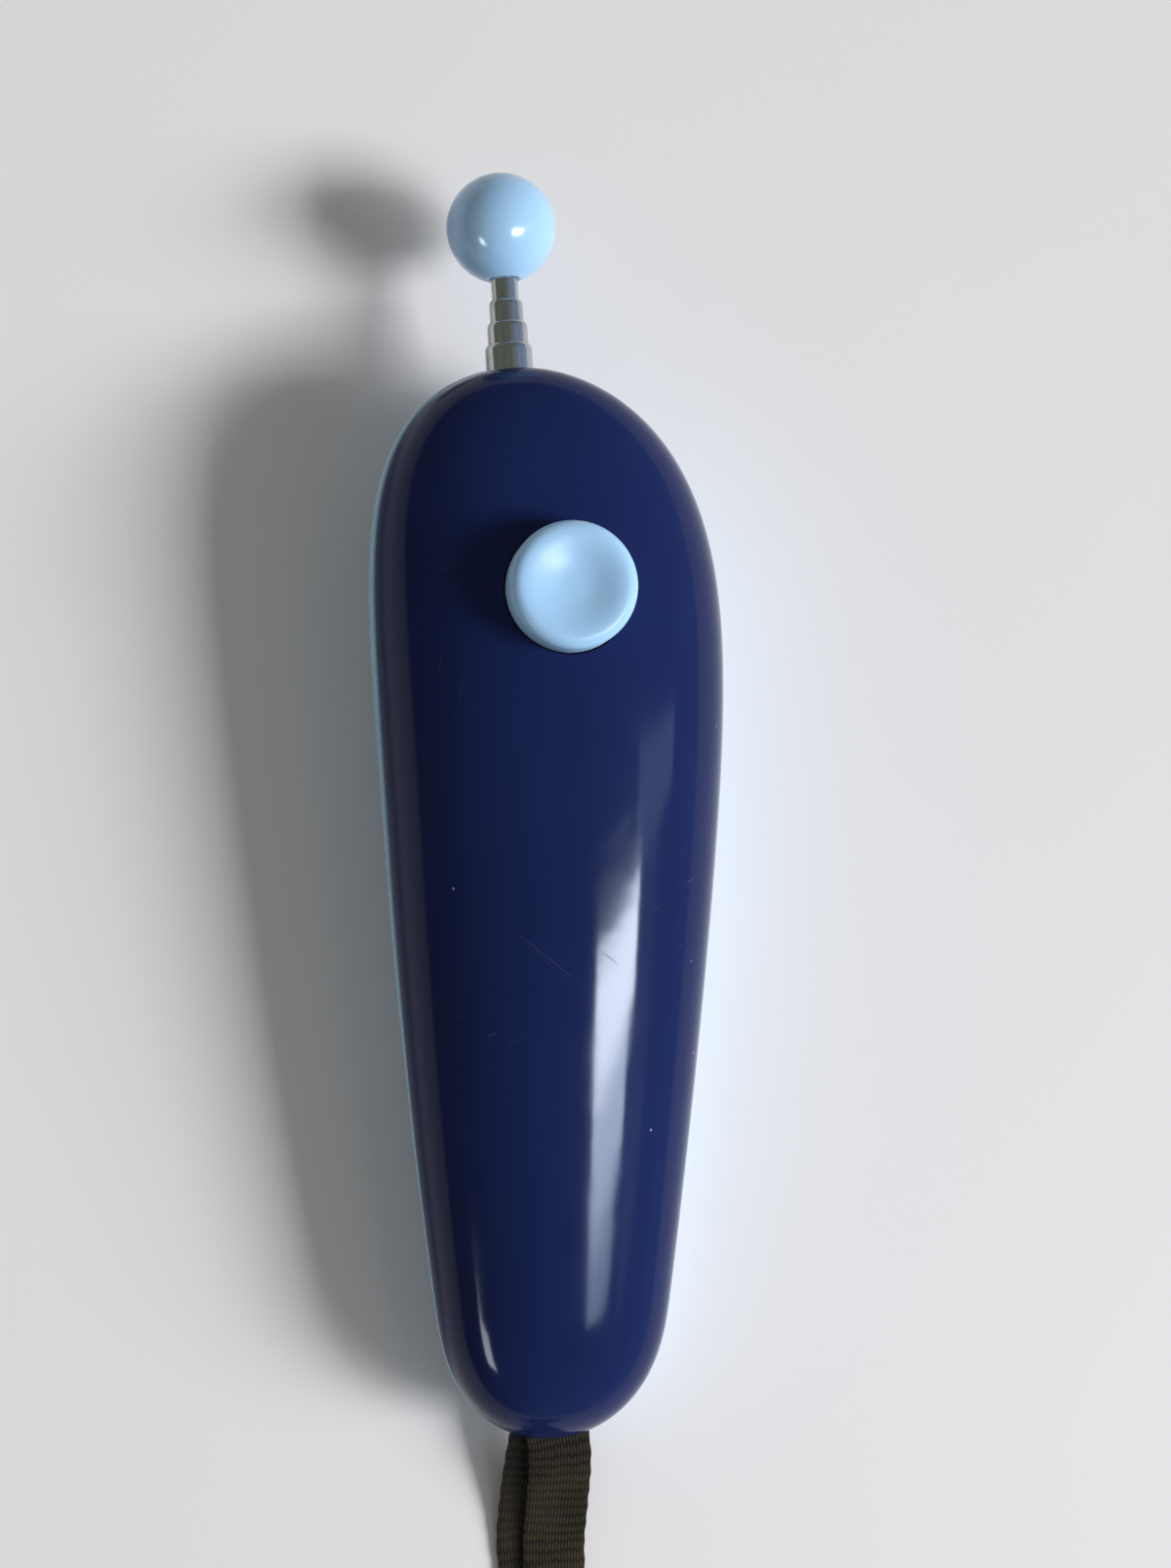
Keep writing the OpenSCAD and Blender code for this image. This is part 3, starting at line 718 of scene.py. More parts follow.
@dataclass(frozen=True)
class Finishes:
    """Every material of the clicker trainer, built once."""

    navy: bpy.types.Material
    light_blue: bpy.types.Material
    rubbed_blue: bpy.types.Material
    ball_blue: bpy.types.Material
    chrome: bpy.types.Material
    steel: bpy.types.Material
    brass: bpy.types.Material
    black_plastic: bpy.types.Material
    webbing: bpy.types.Material

    @classmethod
    def make(cls) -> "Finishes":
        """Makes each finish once.

        Returns:
            The set of finishes.
        """
        dust, scuff = (0.30, 0.33, 0.42), (0.20, 0.30, 0.42)
        return cls(
            navy=GlossPlastic(
                "navy gloss plastic", (0.0086, 0.0168, 0.084), roughness=0.09, speck_colour=dust,
                speck_share=0.8, subsurface=0.0, scratch_depth=1.0, shine=0.16).build(),
            light_blue=GlossPlastic(
                "light blue gloss plastic", (0.43, 0.70, 0.985), roughness=0.10, speck_colour=scuff,
                speck_share=0.12, subsurface=0.15, scratch_depth=0.35, shine=0.5).build(),
            rubbed_blue=GlossPlastic(
                "rubbed light blue plastic", (0.395, 0.66, 0.985), roughness=0.34, speck_colour=scuff,
                speck_share=0.2, subsurface=0.15, scratch_depth=0.5, shine=0.3).build(),
            ball_blue=GlossPlastic(
                "light blue ball plastic", (0.405, 0.67, 0.985), roughness=0.14, speck_colour=scuff,
                speck_share=0.12, subsurface=0.15, scratch_depth=0.35, shine=0.5).build(),
            chrome=DrawnMetal(
                "drawn chromed tube", (0.56, 0.57, 0.57), roughness=0.14, line_scale=(2600, 60, 2600),
                line_strength=0.12).build(),
            steel=DrawnMetal(
                "rolled steel", (0.62, 0.62, 0.63), roughness=0.26, line_scale=(60, 2600, 2600),
                line_strength=0.2).build(),
            brass=DrawnMetal(
                "turned brass", (0.78, 0.58, 0.27), roughness=0.24, line_scale=(1800, 1800, 1800),
                line_strength=0.15).build(),
            black_plastic=MattePlastic("black matte plastic", (0.022, 0.022, 0.025), roughness=0.5).build(),
            # The webbing's dark tone is painted shade in the grooves; its light tone is a painted highlight on
            # the yarns' crowns and real wear.
            webbing=RibbedWebbing(
                "ribbed webbing", dark=(0.0062, 0.0043, 0.0013), light=(0.047, 0.034, 0.014)).build(),
        )


# --- handle -----------------------------------------------------------------------------


@dataclass(frozen=True)
class CasingForm:
    """The handle's form, in millimetres: one family of cross sections from the tail to the nose."""

    tail_y: float
    body_len: float
    body_w: float = 35.9
    tail_w: float = 19.9
    crown_h: float = 13.7
    tail_crown_h: float = 7.4
    belly: float = 2.2
    tail_bow: float = 1.8
    tail_round: float = 14.5
    wall: float = 1.8
    nose_mid_z: float = 12.2
    tail_mid_z: float = 8.5
    nose_seam_z: float = 15.4
    tail_seam_z: float = 7.6
    foot_cut: float = 1.2
    lip_h: float = 1.1
    seam_gap: float = 0.05
    lip_gap: float = 0.1
    crown_power: float = 2.3
    keel_power: float = 2.6
    crown_nose_power: int = 4
    side_nose_power: int = 5
    belly_power: float = 2.25
    widen_rate: float = 2.12
    widen_slow: float = 0.99

    @classmethod
    def from_frame(cls) -> "CasingForm":
        """Takes the handle's place and length from the cover's box."""
        low, high = node_box("top_cover")
        return cls(tail_y=low[1], body_len=high[1] - low[1])

    @property
    def nose_y(self) -> float:
        """Where the nose ends."""
        return self.tail_y + self.body_len

    @property
    def cover_lift(self) -> float:
        """Height of the cover's inner edge over the seam."""
        return self.seam_gap + self.lip_h + self.lip_gap

    def widening(self, s: np.ndarray) -> np.ndarray:
        """Share of the widening at a share s of the length: a rate times s less a slowing times s squared."""
        return self.widen_rate * s - self.widen_slow * s * s

    def tail_cap(self, s: np.ndarray, grow: float) -> np.ndarray:
        """Closes the tail: the root of one less the cube of the share of the rounding still to come."""
        left = np.maximum(1 - s * (self.body_len + 2 * grow) / self.tail_round, 0)
        return np.sqrt(np.maximum(0, 1 - left ** 3))

    def cap(self, s: np.ndarray, grow: float, power: int | np.ndarray) -> np.ndarray:
        """Closes both ends: the tail's cap times the nose's, the root of one less (2s - 1) to a power."""
        nose = np.sqrt(np.maximum(0, 1 - np.maximum(2 * s - 1, 0) ** power))
        return nose * self.tail_cap(s, grow)

    def half_width(self, s: np.ndarray, grow: float) -> np.ndarray:
        """Half the section's width before the ends close: the tail's and a share of what the nose has more."""
        return (self.tail_w + (self.body_w - self.tail_w) * self.widening(s)) / 2 + grow

    def crown(self, s: np.ndarray, grow: float) -> np.ndarray:
        """Height of the crown over the widest level, which grows as the width does."""
        return self.tail_crown_h + (self.crown_h - self.tail_crown_h) * self.widening(s) + grow

    def mid_z(self, s: np.ndarray) -> np.ndarray:
        """Height of the widest level, which climbs evenly from tail to nose."""
        return self.tail_mid_z + (self.nose_mid_z - self.tail_mid_z) * s

    def keel(self, s: np.ndarray, grow: float) -> np.ndarray:
        """Depth of the underside below the widest level, before the foot is cut flat."""
        return self.mid_z(s) + self.foot_cut + grow

    def mid_x(self, s: np.ndarray) -> np.ndarray:
        """The spine: a sine that bows one way near the nose, less a cube that bows the tail the other way."""
        bow = np.sin(np.pi * np.asarray(s, float) ** self.belly_power)
        return self.belly * bow - self.tail_bow * (1 - s) ** 3

    @property
    def tail_x(self) -> float:
        """Where the spine starts, at the tail."""
        return float(self.mid_x(0.0))

    def station_y(self, s: np.ndarray, grow: float) -> np.ndarray:
        """Where a station lies along the handle."""
        return self.tail_y - grow + s * (self.body_len + 2 * grow)

    def seam_z(self, y: np.ndarray) -> np.ndarray:
        """Height of the seam, which climbs evenly from tail to nose."""
        return self.tail_seam_z + (self.nose_seam_z - self.tail_seam_z) * (y - self.tail_y) / self.body_len

    def start_rise(self, s: np.ndarray, grow: float, lift: float) -> np.ndarray:
        """Height of a shell's edge over the widest level."""
        return self.seam_z(self.station_y(s, grow)) + lift - self.mid_z(s)

    def angle_at(self, s: np.ndarray, grow: float, rise: np.ndarray) -> np.ndarray:
        """Angle round the section at which it stands at a height over its widest level.

        It is the arc sine of the height's share of the crown, or of the keel, to half the section's power.

        Args:
            s: Shares of the length, one to a row.
            grow: Distance outside the cover's own surface.
            rise: The heights.

        Returns:
            The angles.
        """
        up = np.arcsin(np.clip(np.maximum(rise, 0) / self.crown(s, grow), 0, 1) ** (self.crown_power / 2))
        down = np.arcsin(np.clip(np.maximum(-rise, 0) / self.keel(s, grow), 0, 1) ** (self.keel_power / 2))
        return np.where(rise >= 0, up, -down)

    def skin(self, s: np.ndarray, angle: np.ndarray, grow: float, lift: float) -> np.ndarray:
        """Points of the surface.

        A section is a superellipse, with one power above its widest level and another below. Across, it is
        the half width times the cosine to 2 over the power; up, the height times the sine likewise. Both
        shrink by the caps at the ends, so the form closes down on to the seam.

        Args:
            s: Shares of the length, one to a row.
            angle: Angles round the section, in rows.
            grow: Distance outside the cover's own surface.
            lift: Height of the shell's edge over the seam.

        Returns:
            An array of rows of points.
        """
        s = np.broadcast_to(s, angle.shape)
        above = np.sin(angle) >= 0
        power = np.where(above, self.crown_power, self.keel_power)
        reach = np.where(above, self.crown(s, grow), -self.keel(s, grow))
        h = reach * np.abs(np.sin(angle)) ** (2 / power)
        x = self.half_width(s, grow) * np.sign(np.cos(angle)) * np.abs(np.cos(angle)) ** (2 / power)
        y = self.station_y(s, grow)
        side_cap = self.cap(s, grow, self.side_nose_power)
        cap = np.where(above, self.cap(s, grow, self.crown_nose_power), side_cap)
        z = self.seam_z(y) + lift + cap * (h - self.start_rise(s, grow, lift))
        return np.stack([self.mid_x(s) + side_cap * x, y, z], -1)

    def stations(self, count: int) -> np.ndarray:
        """Shares of the length as a column: half of one less the cosine of even steps over half a turn."""
        return ((1 - np.cos(np.pi * np.arange(1, count) / count)) / 2)[:, None]

    def end_point(self, s: float, grow: float, lift: float) -> np.ndarray:
        """The point at which a shell closes at the tail or the nose."""
        y = self.station_y(s, grow)
        return np.array([float(self.mid_x(s)), y, self.seam_z(y) + lift])

    def seam_line(self, count: int, grow: float, lift: float, rise: float) -> np.ndarray:
        """Closed line round the seam at one inset: tail, right side, nose, left side.

        Args:
            count: Number of stations.
            grow: Distance outside the cover's own surface.
            lift: Height over the seam of the level where it follows the form.
            rise: Further height by which it is moved.

        Returns:
            The points.
        """
        s = self.stations(count)
        start = self.angle_at(s, grow, self.start_rise(s, grow, lift))
        right = self.skin(s, start, grow, lift)[:, 0]
        left = self.skin(s, np.pi - start, grow, lift)[::-1, 0]
        ends = [self.end_point(e, grow, lift)[None] for e in (0.0, 1.0)]
        return np.concatenate([ends[0], right, ends[1], left]) + np.array([0, 0, rise])


@dataclass
class Shell:
    """A moulded half of the handle as one closed skin: outside, inside, and the stepped edge between."""

    form: CasingForm
    stations: int = 220
    edge_round: float = 0.28
    edge_steps: int = 5
    edge_share: float = 0.4

    def rounded(self, grid: np.ndarray, depth: np.ndarray) -> np.ndarray:
        """Turns a shell's outer edge in by a quarter round.

        A point nearer to the edge than the radius r, at a depth d, moves in level by r less the root of
        r squared less (r - d) squared. The way in is the level part of the surface's own normal.

        Args:
            grid: The outer surface's rows of points.
            depth: How far each lies from the seam's level.

        Returns:
            The rows with their edge rounded.
        """
        level = np.cross(np.gradient(grid, axis=0), np.gradient(grid, axis=1))[..., :2]
        level = level / np.maximum(np.linalg.norm(level, axis=-1, keepdims=True), TINY ** 2)
        middle = grid[..., :2] - grid[..., :2].mean(axis=(0, 1), keepdims=True)
        if (level * middle).sum() < 0:
            level = -level
        r = self.edge_round
        left = np.clip(r - depth, 0, r)
        inset = r - np.sqrt(np.maximum(r * r - left * left, 0))
        result = grid.copy()
        result[..., :2] -= inset[..., None] * level
        return result

    def close(
            self, name: str, outer: np.ndarray, inner: np.ndarray, ends: list, lines: list,
    ) -> bpy.types.Object:
        """Joins the outside to the inside by lines round the seam.

        Args:
            name: The object's name.
            outer: The outer surface's rows.
            inner: The inner surface's rows.
            ends: The four end points: outer tail and nose, inner tail and nose.
            lines: Closed lines round the seam, from the outside in.

        Returns:
            The shell.
        """
        rows = outer.shape[0]
        n_out, n_in = outer.size // 3, inner.size // 3
        first_end = n_out + n_in
        first_line = first_end + len(ends)
        points = np.concatenate([outer.reshape(-1, 3), inner.reshape(-1, 3), np.array(ends), *lines])
        faces, rings = [], []
        for start, cols, tail in ((0, outer.shape[1], first_end), (n_out, inner.shape[1], first_end + 2)):
            at = start + np.arange(rows * cols).reshape(rows, cols)
            faces += (grid_faces(rows, cols, False, False) + start).tolist()
            for end, near, far in ((tail, at[0, 1:], at[0, :-1]), (tail + 1, at[-1, :-1], at[-1, 1:])):
                faces += np.stack([np.full(cols - 1, end), near, far], -1).tolist()
            rings.append(np.concatenate([[tail], at[:, 0], [tail + 1], at[::-1, -1]]))
        count = len(rings[0])
        line_rings = first_line + np.arange(len(lines) * count).reshape(len(lines), count)
        chain = [rings[0], *line_rings, rings[1]]
        for a, b in zip(chain[:-1], chain[1:]):
            faces += np.stack([a, np.roll(a, -1), np.roll(b, -1), b], -1).tolist()
        return make_object(name, points, faces)

    def edge_rises(self, s: np.ndarray, grow: float, lift: float, half: Half) -> np.ndarray:
        """Heights in the section of the rows that the rounded edge needs, from the seam onward.

        A row k of n lies below the edge by the radius times one less the cosine of k/n quarter turns, and
        never further than its share of the room that the section leaves.

        Args:
            s: Shares of the length, one to a row.
            grow: Distance outside the cover's own surface.
            lift: Height of the shell's edge over the seam.
            half: Which half it is.

        Returns:
            The heights over the widest level.
        """
        f = self.form
        upper = half is Half.UPPER
        cap = f.cap(s, grow, f.crown_nose_power if upper else f.side_nose_power)
        base = f.start_rise(s, grow, lift)
        room = f.crown(s, grow) - base if upper else f.keel(s, grow) + base
        k = np.arange(self.edge_steps + 1)[None, :] / self.edge_steps
        depth = self.edge_round * (1 - np.cos(k * np.pi / 2))
        return base + half.value * np.minimum(depth / np.maximum(cap, TINY), room * self.edge_share * k)


@dataclass
class TopCover(Shell):
    """The navy upper shell, with the round hole that the button slides in."""

    crown_cols: int = 110
    inner_cols: int = 44
    hole_r: float = 6.5
    hole_from_z: float = 12.0
    hole_to_z: float = 40.0
    sharp: float = 30.0

    def build(self, finishes: Finishes) -> bpy.types.Object:
        """Builds the cover, cuts the button's hole and dresses it.

        Args:
            finishes: The materials.

        Returns:
            The cover.
        """
        f = self.form
        s = f.stations(self.stations)
        rises = self.edge_rises(s, 0, f.seam_gap, Half.UPPER)
        low = f.angle_at(s, 0, rises)
        t = np.linspace(0, 1, self.crown_cols)[None, 1:-1]
        middle = low[:, -1:] + (np.pi - 2 * low[:, -1:]) * t
        outer = f.skin(s, np.concatenate([low, middle, np.pi - low[:, ::-1]], 1), 0, f.seam_gap)
        outer = self.rounded(outer, outer[..., 2] - f.seam_z(outer[..., 1]) - f.seam_gap)
        lift = f.cover_lift
        start = f.angle_at(s, -f.wall, f.start_rise(s, -f.wall, lift))
        turn = np.linspace(0, 1, self.inner_cols)[None, :]
        inner = f.skin(s, start + (np.pi - 2 * start) * turn, -f.wall, lift)
        r = self.edge_round
        ends = [
            f.end_point(0.0, -r, f.seam_gap), f.end_point(1.0, -r, f.seam_gap),
            f.end_point(0.0, -f.wall, lift), f.end_point(1.0, -f.wall, lift)]
        inset = f.lip_gap - f.wall / 2
        lines = [
            f.seam_line(self.stations, inset, f.seam_gap, 0),
            f.seam_line(self.stations, inset, f.seam_gap, lift - f.seam_gap)]
        cover = self.close("handle_cover", outer, inner, ends, lines)
        self.cut(cover)
        shade(cover, self.sharp)
        settle(cover, "handle", Slot.NAVY, finishes.navy, "top_cover")
        return cover

    def cut(self, cover: bpy.types.Object) -> None:
        """Cuts the round hole in which the button slides.

        Args:
            cover: The cover's closed skin.
        """
        x, y, _ = sum(node_box("button_cap")) / 2
        profile = cylinder_profile(self.hole_r, self.hole_from_z, self.hole_to_z)
        hole = revolve("button_hole", profile, Axis.UPRIGHT, (x, y, 0), MANY_SIDES)
        boolean(cover, [hole], Change.CUT)


@dataclass
class BottomCasing(Shell):
    """The light blue lower shell, with the strap's slot, the nose hole, the screws' pockets and the sound
    slots. A slot's size is its width, length and height."""

    side_cols: int = 46
    floor_cols: int = 14
    inner_cols: int = 22
    inner_floor_cols: int = 4
    most_sine: float = 0.9999
    rim_tail: float = 0.08
    rim_nose: float = 0.16
    rim_shift: float = 0.08
    rim_from: float = 0.30
    rim_to: float = 0.55
    nose_hole_r: float = 3.35
    nose_hole_in: float = 6.0
    nose_hole_out: float = 5.0
    stick_z: float = 11.2
    strap_slot: tuple = (9.1, 9.5, 3.6)
    strap_slot_out: float = 2.0
    strap_slot_z: float = 5.35
    strap_slot_round: float = 0.7
    pocket_r: float = 2.2
    pocket_top: float = 4.2
    boss_r: float = 2.9
    boss_foot: float = 1.0
    boss_top: float = 6.4
    cut_below: float = -1.0
    sound_slots: int = 5
    sound_slot: tuple = (1.2, 9.0, 4.8)
    sound_slot_pitch: float = 2.4
    sound_slot_round: float = 0.59
    sharp: float = 24.0

    def floor_angle(self, s: np.ndarray, grow: float, floor_z: float) -> np.ndarray:
        """Angle at which the underside reaches a floor.

        It is the arc sine of the drop's share of the keel, to half the section's power.

        Args:
            s: Shares of the length, one to a row.
            grow: Distance outside the cover's own surface.
            floor_z: Height of the floor.

        Returns:
            The angles, below the widest level and so negative.
        """
        f = self.form
        drop = (f.seam_z(f.station_y(s, grow)) - floor_z) / f.cap(s, grow, f.side_nose_power)
        drop = drop - f.start_rise(s, grow, 0)
        sine = (np.maximum(drop, 0) / f.keel(s, grow)) ** (f.keel_power / 2)
        return -np.arcsin(np.minimum(self.most_sine, sine))

    def rows(
            self, s: np.ndarray, grow: float, floor_z: float, first: np.ndarray, cols: int, floor_cols: int,
    ) -> np.ndarray:
        """Rows from the right of the seam, round the side and straight across the foot, to the left.

        Args:
            s: Shares of the length, one to a row.
            grow: Distance outside the cover's own surface.
            floor_z: Height of the foot.
            first: Angles of the rows that the seam's edge needs.
            cols: Number of points down one side.
            floor_cols: Number of points across the foot, between its corners.

        Returns:
            The rows of points.
        """
        f = self.form
        last = self.floor_angle(s, grow, floor_z)
        t = np.linspace(0, 1, cols)[None, 1:]
        side = np.concatenate([first, first[:, -1:] + (last - first[:, -1:]) * t], 1)
        right, left = f.skin(s, side, grow, 0), f.skin(s, np.pi - side, grow, 0)[:, ::-1]
        share = np.linspace(0, 1, floor_cols + 2)[None, 1:-1, None]
        across = right[:, -1:] + (left[:, :1] - right[:, -1:]) * share
        return np.concatenate([right, across, left], 1)

    def build(self, finishes: Finishes) -> bpy.types.Object:
        """Builds the casing, opens its holes and dresses it.

        Args:
            finishes: The materials.

        Returns:
            The casing.
        """
        f = self.form
        s = f.stations(self.stations)
        # The rim stands out from the cover more from the shoulders on, where it shows round the nose.
        shown = np.clip((s - self.rim_from) / (self.rim_to - self.rim_from), 0, 1)
        shown = shown * shown * (3 - 2 * shown)
        grow = self.rim_tail + (self.rim_nose - self.rim_tail) * shown
        first = f.angle_at(s, grow, self.edge_rises(s, grow, 0, Half.LOWER))
        outer = self.rows(s, grow, 0, first, self.side_cols, self.floor_cols)
        outer = self.rounded(outer, f.seam_z(outer[..., 1]) - outer[..., 2])
        outer[..., 0] -= self.rim_shift * shown
        inner_first = f.angle_at(s, -f.wall, f.start_rise(s, -f.wall, 0))
        inner = self.rows(s, -f.wall, f.wall, inner_first, self.inner_cols, self.inner_floor_cols)
        r = self.edge_round
        ends = [
            f.end_point(0.0, self.rim_tail - r, 0),
            f.end_point(1.0, self.rim_nose - r, 0) - np.array([self.rim_shift, 0, 0]),
            f.end_point(0.0, -f.wall, 0), f.end_point(1.0, -f.wall, 0)]
        lines = [
            f.seam_line(self.stations, -f.wall / 2, 0, 0),
            f.seam_line(self.stations, -f.wall / 2, 0, f.lip_h),
            f.seam_line(self.stations, -f.wall, 0, f.lip_h)]
        casing = self.close("handle_base", outer, inner, ends, lines)
        self.open(casing)
        shade(casing, self.sharp)
        settle(casing, "handle", Slot.LIGHT_BLUE, finishes.light_blue, "bottom_casing")
        return casing

    def open(self, casing: bpy.types.Object) -> None:
        """Adds the screws' bosses and cuts every opening.

        Args:
            casing: The casing's closed skin.
        """
        f = self.form
        screws = ScrewPlaces.from_frame().points
        boss = cylinder_profile(self.boss_r, self.boss_foot, self.boss_top)
        pocket = cylinder_profile(self.pocket_r, self.cut_below, self.pocket_top)
        bosses = [
            revolve(f"boss_{k}", boss, Axis.UPRIGHT, (*place, 0), FEW_SIDES) for k, place in enumerate(screws)]
        boolean(casing, bosses, Change.JOIN)
        cutters = [
            revolve(f"pocket_{k}", pocket, Axis.UPRIGHT, (*place, 0), FEW_SIDES)
            for k, place in enumerate(screws)]
        nose_hole = cylinder_profile(self.nose_hole_r, -self.nose_hole_in, self.nose_hole_out)
        cutters.append(revolve("nose_hole", nose_hole, Axis.STICK, (0, f.nose_y, self.stick_z)))
        size = np.array(self.strap_slot)
        middle = np.array([f.tail_x, f.tail_y - self.strap_slot_out + size[1] / 2, self.strap_slot_z])
        cutters.append(rounded_block(
            "strap_slot", middle - size / 2, middle + size / 2, self.strap_slot_round, Axis.STICK))
        size = np.array(self.sound_slot)
        button_x, button_y, _ = sum(node_box("button_cap")) / 2
        for k in range(self.sound_slots):
            x = button_x + (k - self.sound_slots // 2) * self.sound_slot_pitch
            middle = np.array([x, button_y, self.cut_below + size[2] / 2])
            cutters.append(rounded_block(
                f"sound_slot_{k}", middle - size / 2, middle + size / 2, self.sound_slot_round, Axis.UPRIGHT))
        boolean(casing, cutters, Change.CUT)


@dataclass(frozen=True)
class ScrewPlaces:
    """Where the casing screws stand, read from their node."""

    points: tuple

    @classmethod
    def from_frame(cls) -> "ScrewPlaces":
        """Parts the node's points into its four screws and takes the middle of each one's box.

        Returns:
            The places.
        """
        co = np.array([v.co[:2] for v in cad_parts["case_screws"].data.vertices]) / MM
        middle = co.mean(0)
        places = []
        for front in (False, True):
            for right in (False, True):
                part = co[(co[:, 1] > middle[1]) == front]
                centre = (part[:, 0].min() + part[:, 0].max()) / 2
                part = part[(part[:, 0] > centre) == right]
                places.append(tuple((part.min(0) + part.max(0)) / 2))
        return cls(tuple(places))


@dataclass
class ThumbButton:
    """The light blue push button, with a shallow thumb dish and a soft rim."""

    cap_r: float = 6.3
    edge: float = 1.15
    dish_depth: float = 0.9
    dish_power: float = 1.35
    crown_t: float = 1.5
    flange_r: float = 7.3
    flange_h: float = 1.0
    flange_up: float = 0.85
    skirt: float = 1.4
    stem_r: float = 2.4
    dish_points: int = 26
    rim_points: int = 12

    def profile(self, top: float, foot: float) -> np.ndarray:
        """The button's section.

        The dish falls from the rim as a cosine: its depth at a share q of the dish's radius is half the
        full depth times one plus the cosine of q to a power, in half turns. The rim is a quarter round.

        Args:
            top: Height of the rim.
            foot: Height of the stem's end.

        Returns:
            Rows of radius and height, closed.
        """
        crest = self.cap_r - self.edge
        q = np.linspace(0, 1, self.dish_points)
        sink = self.dish_depth * (1 + np.cos(np.pi * q ** self.dish_power)) / 2
        dish = np.stack([crest * q, top - sink], -1)
        a = np.linspace(0, np.pi / 2, self.rim_points)[1:]
        rim = np.stack([crest + self.edge * np.sin(a), top - self.edge * (1 - np.cos(a))], -1)
        flange_z = foot + self.flange_up
        flange_top, inside = flange_z + self.flange_h, self.cap_r - self.skirt
        ceiling = top - self.dish_depth - self.crown_t
        rest = np.array([
            [self.cap_r, flange_top], [self.flange_r, flange_top], [self.flange_r, flange_z],
            [inside, flange_z], [inside, ceiling], [self.stem_r, ceiling], [self.stem_r, foot], [0, foot]])
        return np.concatenate([dish, rim, rest])

    def build(self, finishes: Finishes) -> bpy.types.Object:
        """Builds and dresses the button.

        Args:
            finishes: The materials.

        Returns:
            The button.
        """
        low, high = node_box("button_cap")
        x, y, _ = (low + high) / 2
        button = revolve("thumb_button", self.profile(high[2], low[2]), Axis.UPRIGHT, (x, y, 0), MANY_SIDES)
        settle(button, "button", Slot.LIGHT_BLUE, finishes.rubbed_blue, "button_cap")
        return button


# --- stick ------------------------------------------------------------------------------


@dataclass
class TelescopicStick:
    """The fixed tube, the six that slide in it, and the ball on the last."""

    axis_z: float = 11.2
    base_d: float = 7.0
    step: float = 0.7
    wall: float = 0.25
    crimp: float = 0.6
    run_gap: float = 0.02
    bead_h: float = 0.06
    bead_len: float = 0.45
    bead_edge: float = 0.1
    front_bead: tuple = (0.05, 0.25, 0.3)
    ring_room: float = 3.04
    lip_t: float = 0.06
    mouth_points: int = 10
    tubes: int = 6
    ball_bore: float = 6.5
    ball_lip: float = 0.32
    ball_points: int = 72
    ball_lip_points: int = 6

    def diameter(self, k: int) -> float:
        """Outside diameter of tube k."""
        return self.base_d - k * self.step

    def profile(self, k: int, length: float) -> np.ndarray:
        """Section of tube k: beads at its inner end, and a mouth rolled in to the next tube.

        The mouth is a quarter of an ellipse, as long as the crimp and as high as the step to the next tube.

        Args:
            k: Which tube, with 0 for the fixed one.
            length: Its length.

        Returns:
            Rows of radius and height, closed.
        """
        r = self.diameter(k) / 2
        bore = r - self.wall
        rows = [[bore, 0]]
        if k > 0:
            # Between its two beads sits the friction ring.
            top, far = r + self.bead_h, self.bead_len + self.ring_room
            rise, level, fall = (far + run for run in self.front_bead)
            rows += [[top, 0], [top, self.bead_len - self.bead_edge], [r, self.bead_len]]
            rows += [[r, far], [top, rise], [top, level], [r, fall]]
        else:
            rows += [[r, 0]]
        if k < self.tubes:
            lip = self.diameter(k + 1) / 2 + self.run_gap
            start, edge = length - self.crimp, self.lip_t / 3
            a = np.linspace(0, np.pi / 2, self.mouth_points)
            mouth = [r - (r - lip - self.lip_t) * (1 - np.cos(a)), start + self.crimp * np.sin(a)]
            rows += np.stack(mouth, -1).tolist()
            rows += [[lip + edge, length], [lip, length - self.lip_t / 2]]
            rows += [[lip, start + self.crimp / 4], [bore, start]]
        else:
            rows += [[r, length], [bore, length]]
        return np.array(rows, float)

    def build(self, finishes: Finishes) -> None:
        """Builds and dresses every tube and the ball.

        Args:
            finishes: The materials.
        """
        for k in range(self.tubes + 1):
            node, body = ("base_tube", "handle") if k == 0 else (f"tube_{k}", f"section_{k}")
            low, high = node_box(node)
            profile = self.profile(k, high[1] - low[1])
            tube = revolve(f"stick_{node}", profile, Axis.STICK, (0, low[1], self.axis_z))
            settle(tube, body, Slot.CHROME, finishes.chrome, node)
        self.build_ball(finishes)

    def build_ball(self, finishes: Finishes) -> None:
        """Builds the ball with the socket that the last tube sits in.

        The skin is a circle from the socket's mouth to the far pole, and the mouth's lip a quarter round.

        Args:
            finishes: The materials.
        """
        low, high = node_box("target_ball")
        r = (high[0] - low[0]) / 2
        bore = self.diameter(self.tubes) / 2 + self.run_gap
        mouth = bore + self.ball_lip
        a = np.linspace(math.asin(mouth / r), math.pi, self.ball_points)
        skin = np.stack([r * np.sin(a), -r * np.cos(a)], -1)
        skin[-1, 0] = 0
        b = np.linspace(0, np.pi / 2, self.ball_lip_points)[1:]
        lip = [mouth - self.ball_lip * np.sin(b), skin[0, 1] + self.ball_lip * (1 - np.cos(b))]
        floor = -r + self.ball_bore
        profile = np.concatenate([[[0, floor], [bore, floor]], np.stack(lip, -1)[::-1], skin])
        ball = revolve("ball", profile, Axis.STICK, (0, high[1] - r, self.axis_z), MANY_SIDES)
        settle(ball, f"section_{self.tubes}", Slot.LIGHT_BLUE, finishes.ball_blue, "target_ball")


# --- strap ------------------------------------------------------------------------------


